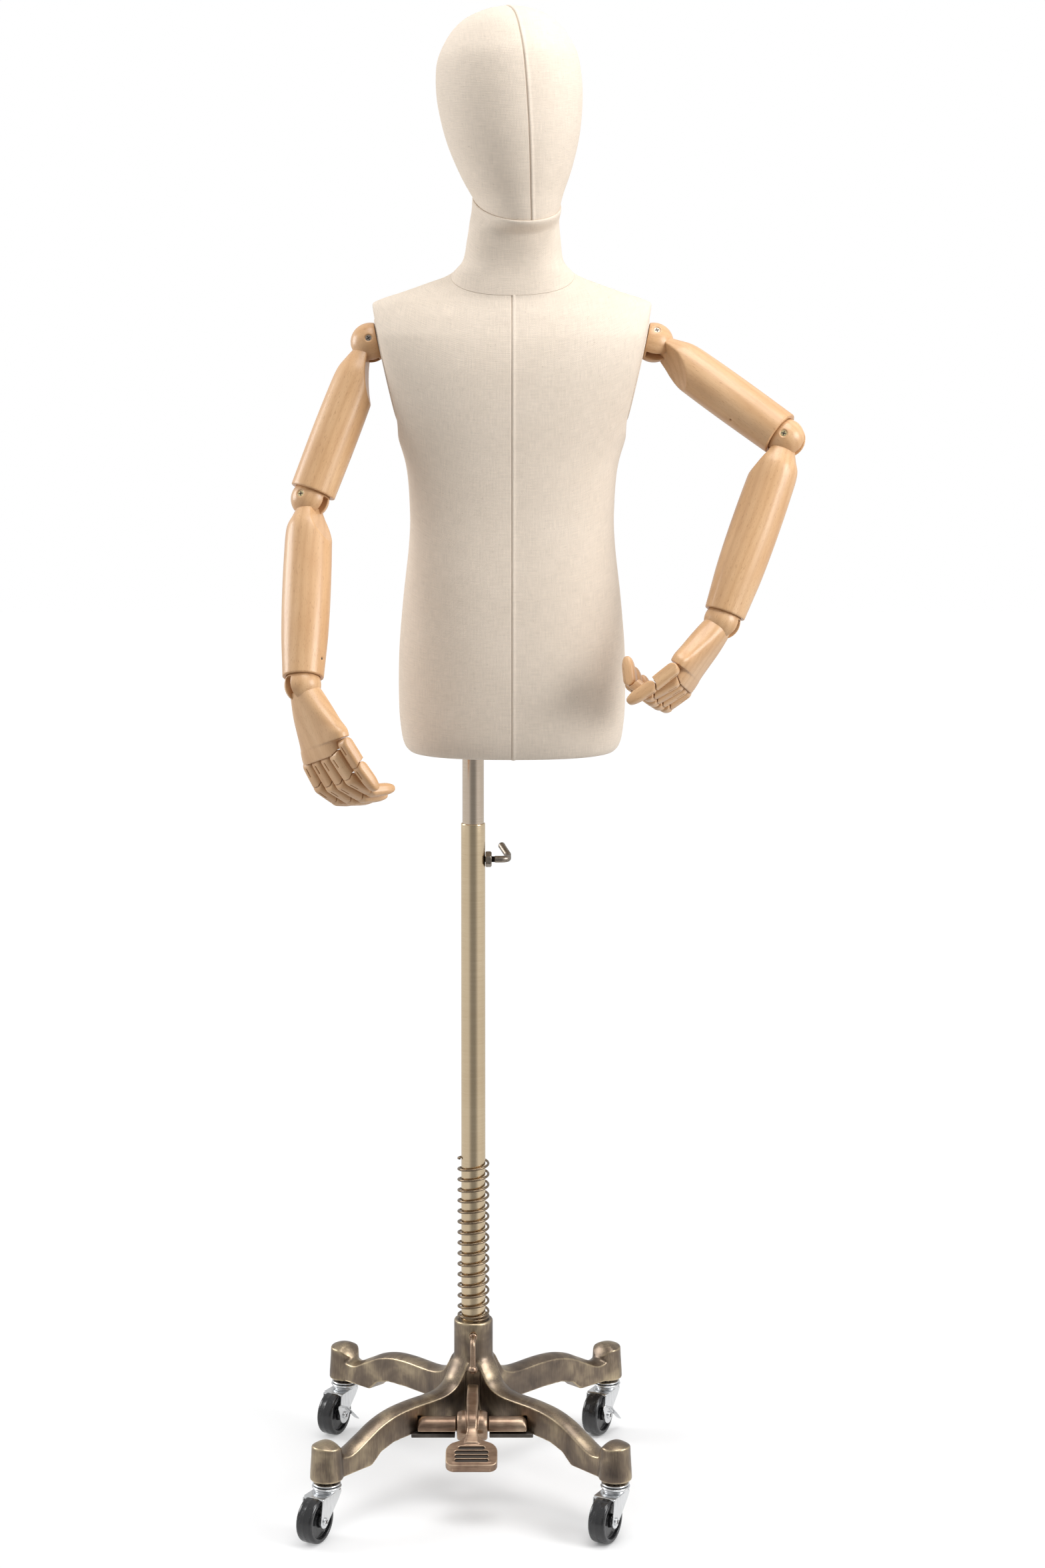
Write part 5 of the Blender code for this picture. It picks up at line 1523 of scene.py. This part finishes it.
def cross_screw(thing, place, radius):
    """A cross-head screw facing along +Z of its place."""
    ring = turned(
        rounded([(radius, -0.0012), (radius, 0.0010), (radius * 0.62, 0.0016), (0.0001, 0.0016)], 0.0004),
        40
    )
    inlaid(thing, moved(ring, place), ZINC)
    # the cross in the head is a dark inlay: painted shade in its recess
    for turn in (0.6, 0.6 + math.pi / 2):
        bar = block((-radius * 0.62, -0.0005, 0.0010), (radius * 0.62, 0.0005, 0.00175))
        inlaid(thing, moved(bar, place @ Matrix.Rotation(turn, 4, "Z")), PAINTED_SHADE)


def build_stem(corner, swivel):
    """The stem in the boss, its bearing's dark gap and the upper race disc."""
    disc = [
        (0.0001, 0.0900),
        (0.0050, 0.0900),
        (0.0050, BOSS_BOTTOM - GAP),
        (0.0094, BOSS_BOTTOM - GAP),
        (0.0094, 0.0596),
        (0.0118, 0.0590),
        (0.0150, 0.0584),
        (0.0159, 0.0572),
        (0.0152, 0.0562),
        (0.0040, 0.0562),
        (0.0040, 0.0448),
        (0.0060, 0.0440),
        (0.0001, 0.0432),
    ]
    thing = loose(f"caster_stem_{corner}_body", turned(rounded(disc, 0.0006)[::-1], 72))
    thing.data.set_sharp_from_angle(angle=math.radians(50))
    show(thing, swivel, "base", ZINC, "bright_zinc", f"caster_stem_{corner}")
    for k in range(10):
        a = 2 * math.pi * k / 10
        bead = moved(
            ball(0.0011, 16, 8), Matrix.Translation((0.0096 * math.cos(a), 0.0096 * math.sin(a), 0.0606))
        )
        inlaid(thing, bead, DARK_THREAD)


def build_fork(corner, swivel, braked):
    """A race, a folded sheet over the wheel with a lip in front, and the axle's screw."""
    race = [
        (0.0048, 0.0555), (0.0160, 0.0555), (0.0169, 0.0543), (0.0160, 0.0528), (0.0135, 0.0515),
        (0.0125, 0.0490)
    ]
    race = turned(rounded(race + [(0.0048, 0.0490)], 0.0006) + [(0.0048, 0.0555)], 72, closed=True)
    outer = FORK_INNER + SHEET
    roof = [
        (-outer, -0.0270), (outer, -0.0270), (outer, 0.0080), (0.0100, 0.0120), (-0.0100, 0.0120),
        (-outer, 0.0080)
    ]
    plate = prism(roof, 0.0482, 0.0503)
    lip = rod((-outer + 0.0006, -0.0268, 0.0484), (outer - 0.0006, -0.0268, 0.0484), 0.0019, 24)
    cheek = arc((-TRAIL, WHEEL_RADIUS), 0.0078, 185, 335, 24)
    cheek += [(0.0040, 0.0405), (0.0098, 0.0470), (0.0090, 0.0503), (-0.0270, 0.0503), (-0.0290, 0.0480)]
    shapes = [race, plate, lip]
    for side in (-1, 1):
        ends = sorted((side * FORK_INNER, side * outer))
        shapes.append(prism(cheek, ends[0], ends[1], "x"))
    axle_end = outer + (0.0004 if not braked else 0.0028)
    shapes.append(rod((-outer - 0.0010, -TRAIL, WHEEL_RADIUS), (axle_end, -TRAIL, WHEEL_RADIUS), 0.0027, 32))
    thing = fused(f"caster_fork_{corner}_body", shapes, 0.0005)
    softened(carved(thing, [rod((0, 0, 0.040), (0, 0, 0.060), 0.0048, 40)]), 0.00045, 3)
    show(thing, swivel, f"fork_{corner}", ZINC, "bright_zinc", f"caster_fork_{corner}")
    head = Matrix.Translation((axle_end, -TRAIL, WHEEL_RADIUS)) @ Matrix.Rotation(math.pi / 2, 4, "Y")
    cross_screw(thing, head, 0.0043)
    far = Matrix.Translation((-outer, -TRAIL, WHEEL_RADIUS)) @ Matrix.Rotation(-math.pi / 2, 4, "Y")
    cross_screw(thing, far, 0.0040)


def build_wheel(corner, spin):
    """A moulded wheel with sunk sides and a mould line round its tread."""
    half = WHEEL_HALF
    side = [
        (0.0032, half + 0.0010),
        (0.0064, half + 0.0010),
        (0.0070, half - 0.0002),
        (0.0074, 0.0058),
        (0.0184, 0.0058),
        (0.0194, half - 0.0004),
        (0.0200, half),
        (0.0226, half),
        (0.0243, half - 0.0012),
        (WHEEL_RADIUS - 0.00015, half - 0.0032),
        (WHEEL_RADIUS - 0.00015, 0.0006),
    ]
    profile = rounded(side, 0.0007) + [(WHEEL_RADIUS, 0.0)]
    profile += [(r, -z) for r, z in reversed(profile[:-1])]
    thing = loose(f"caster_wheel_{corner}_body", turned(profile[::-1], 96, closed=True))
    thing.data.set_sharp_from_angle(angle=math.radians(40))
    turn = Matrix.Rotation(math.pi / 2, 4, "Y")
    show(thing, spin @ turn, f"wheel_{corner}", BLACK, "black_plastic", f"caster_wheel_{corner}")


def build_brake(corner, spin):
    """A pear-shaped plate outside the fork, with a folded tongue for the toe."""
    start = FORK_INNER + SHEET + GAP
    outline = arc((0, 0), 0.0098, 175, 335, 24) + [(0.0118, 0.0010), (0.0040, 0.0085), (-0.0080, 0.0132)]
    outline += arc((-0.0106, 0.0112), 0.0030, 70, 190, 8)
    shapes = [prism(outline, start, start + 0.0016, "x")]
    tongue_line = [
        (-0.0100, 0.0138), (0.0020, 0.0095), (0.0130, -0.0010), (0.0230, -0.0095), (0.0305, -0.0140)
    ]
    wide = (0.0020, 0.0046, 0.0062, 0.0056, 0.0030)
    rows = []
    for (y, z), w in zip(tongue_line, wide):
        low, high = start - 0.0002, start + w
        rows.append(
            [(low, y, z - 0.0008), (high, y, z - 0.0006), (high, y, z + 0.0008), (low, y, z + 0.0008)]
        )
    shapes.append(skin(rows))
    thing = fused(f"brake_lever_{corner}_body", shapes, 0.0004)
    softened(carved(thing, [rod((0, 0, 0), (0.05, 0, 0), 0.0031, 32)]), 0.0004, 2)
    show(thing, spin, f"brake_{corner}", ZINC, "bright_zinc", f"brake_lever_{corner}")


def build_casters():
    for corner in CORNERS:
        place = spot(f"swivel_{corner}")
        roll = spot(f"roll_{corner}")
        back = place - roll
        back.z = 0.0
        swivel = axes_frame(Vector((place.x, place.y, 0.0)), (0, 0, 1), back)
        spin = swivel @ Matrix.Translation((0, -TRAIL, WHEEL_RADIUS))
        braked = corner.startswith("rear")
        build_stem(corner, swivel)
        build_fork(corner, swivel, braked)
        build_wheel(corner, spin)
        if braked:
            build_brake(corner, spin)


ROUGH_PLATE = antique(
    "rough_plate", (0.060, 0.052, 0.046), (0.105, 0.092, 0.082), (0.200, 0.180, 0.160), (160, 160, 300),
    0.20, 0.60
)
DARK_THREAD = plated("dark_thread", (0.030, 0.025, 0.022), (0.110, 0.090, 0.072), 0.38, (500, 500, 500), 0.10)

build_base()
build_crossbar()
build_pedal()
build_hub_screw()
build_pole()
build_spring()
build_casters()


# ---------------------------------------------------------------- camera, light and floor


def build_floor():
    """A pale floor that is lit near the object and fades into the white of the backdrop further out."""
    floor = loose("floor", block((-12, -12, -0.05), (12, 12, 0.0)))
    paint = Paint("floor")
    where = paint.object_place()
    distance = paint.node("ShaderNodeVectorMath", operation="LENGTH")
    paint.feed(where, distance, 0)
    fade = paint.spread(distance.outputs["Value"], FLOOR_FADE[0], FLOOR_FADE[1], 0.0, 1.0)
    cloud = paint.noise(where, 1.2, 3.0)
    tone = paint.ramp(cloud, (0.3, (0.88, 0.88, 0.885)), (0.7, (0.91, 0.91, 0.91)))
    material = paint.finish(paint.mix(fade, tone, (0.0, 0.0, 0.0)), 0.60, Specular_IOR_Level=0.10)
    # seen in metal, the floor is bright to the sides and dark towards the front, as under side lights
    split = paint.node("ShaderNodeSeparateXYZ")
    paint.feed(where, split, 0)
    forward = paint.math("DIVIDE", split.outputs[1], distance.outputs["Value"])
    mirrored = paint.spread(forward, *FRONT_SECTOR, WORLD_FRONT, WORLD_LIGHT)
    seen = paint.node("ShaderNodeMix")
    paint.feed(paint.node("ShaderNodeLightPath").outputs["Is Camera Ray"], seen, 0)
    paint.feed(mirrored, seen, 2)
    paint.feed(1.0, seen, 3)
    paint.shader.inputs["Emission Color"].default_value = (1.0, 1.0, 1.0, 1.0)
    paint.feed(paint.math("MULTIPLY", fade, seen.outputs[0]), paint.shader, "Emission Strength")
    floor.data.materials.append(material)


def build_world():
    """White to the eye, softer as a light, and darker in front, for the dark line in round metal."""
    world = bpy.data.worlds.new("studio")
    bpy.context.scene.world = world
    world.use_nodes = True
    tree = world.node_tree
    background = tree.nodes["Background"]
    background.inputs["Color"].default_value = (1.0, 1.0, 1.0, 1.0)
    split = tree.nodes.new("ShaderNodeSeparateXYZ")
    tree.links.new(tree.nodes.new("ShaderNodeTexCoord").outputs["Generated"], split.inputs[0])
    dark = tree.nodes.new("ShaderNodeMapRange")
    tree.links.new(split.outputs[1], dark.inputs[0])
    for k, value in enumerate((*FRONT_SECTOR, WORLD_FRONT, WORLD_LIGHT)):
        dark.inputs[k + 1].default_value = value
    seen = tree.nodes.new("ShaderNodeMix")
    tree.links.new(tree.nodes.new("ShaderNodeLightPath").outputs["Is Camera Ray"], seen.inputs[0])
    tree.links.new(dark.outputs[0], seen.inputs[2])
    seen.inputs[3].default_value = 1.0
    tree.links.new(seen.outputs[0], background.inputs["Strength"])


def build_stage():
    build_floor()
    build_world()
    for name, place, aim, power, size in LIGHTS:
        data = bpy.data.lights.new(name, "AREA")
        data.energy, data.size = power, size
        lamp = bpy.data.objects.new(name, data)
        bpy.context.scene.collection.objects.link(lamp)
        lamp.location = place
        lamp.rotation_mode = "QUATERNION"
        lamp.rotation_quaternion = (Vector(aim) - Vector(place)).to_track_quat("-Z", "Y")

    data = bpy.data.cameras.new("camera")
    camera = bpy.data.objects.new("camera", data)
    bpy.context.scene.collection.objects.link(camera)
    data.sensor_fit = "VERTICAL"
    data.sensor_width = data.sensor_height = 36.0
    data.lens = LENS
    data.shift_y = SHIFT
    data.clip_end = 60.0
    camera.location = POLE + Vector(CAMERA_FROM_POLE)
    camera.rotation_euler = (math.pi / 2 - CAMERA_DOWN, 0, 0)
    bpy.context.scene.camera = camera


bpy.context.scene.view_settings.view_transform = "Standard"
WORLD_LIGHT, WORLD_FRONT = 0.68, 0.26
FRONT_SECTOR = (-0.955, -0.70)  # how far to the front the dark part of the surroundings reaches
FLOOR_FADE = (0.12, 0.62)  # where the floor starts to turn white, and where it is white
LIGHTS = (
    ("right_softbox", (2.6, -1.4, 1.9), (0.0, 0.0, 1.1), 64.0, 1.5),
    ("left_softbox", (-2.6, 0.6, 1.7), (-0.1, 0.0, 1.1), 36.0, 1.3),
    ("top_softbox", (0.3, -0.6, 3.4), (0.0, 0.0, 0.6), 38.0, 1.6),
)
CAMERA_FROM_POLE = (0.0571, -3.2500, 1.2850)
CAMERA_DOWN = math.radians(2.1)
LENS = 64.86
SHIFT = -0.1949
build_stage()
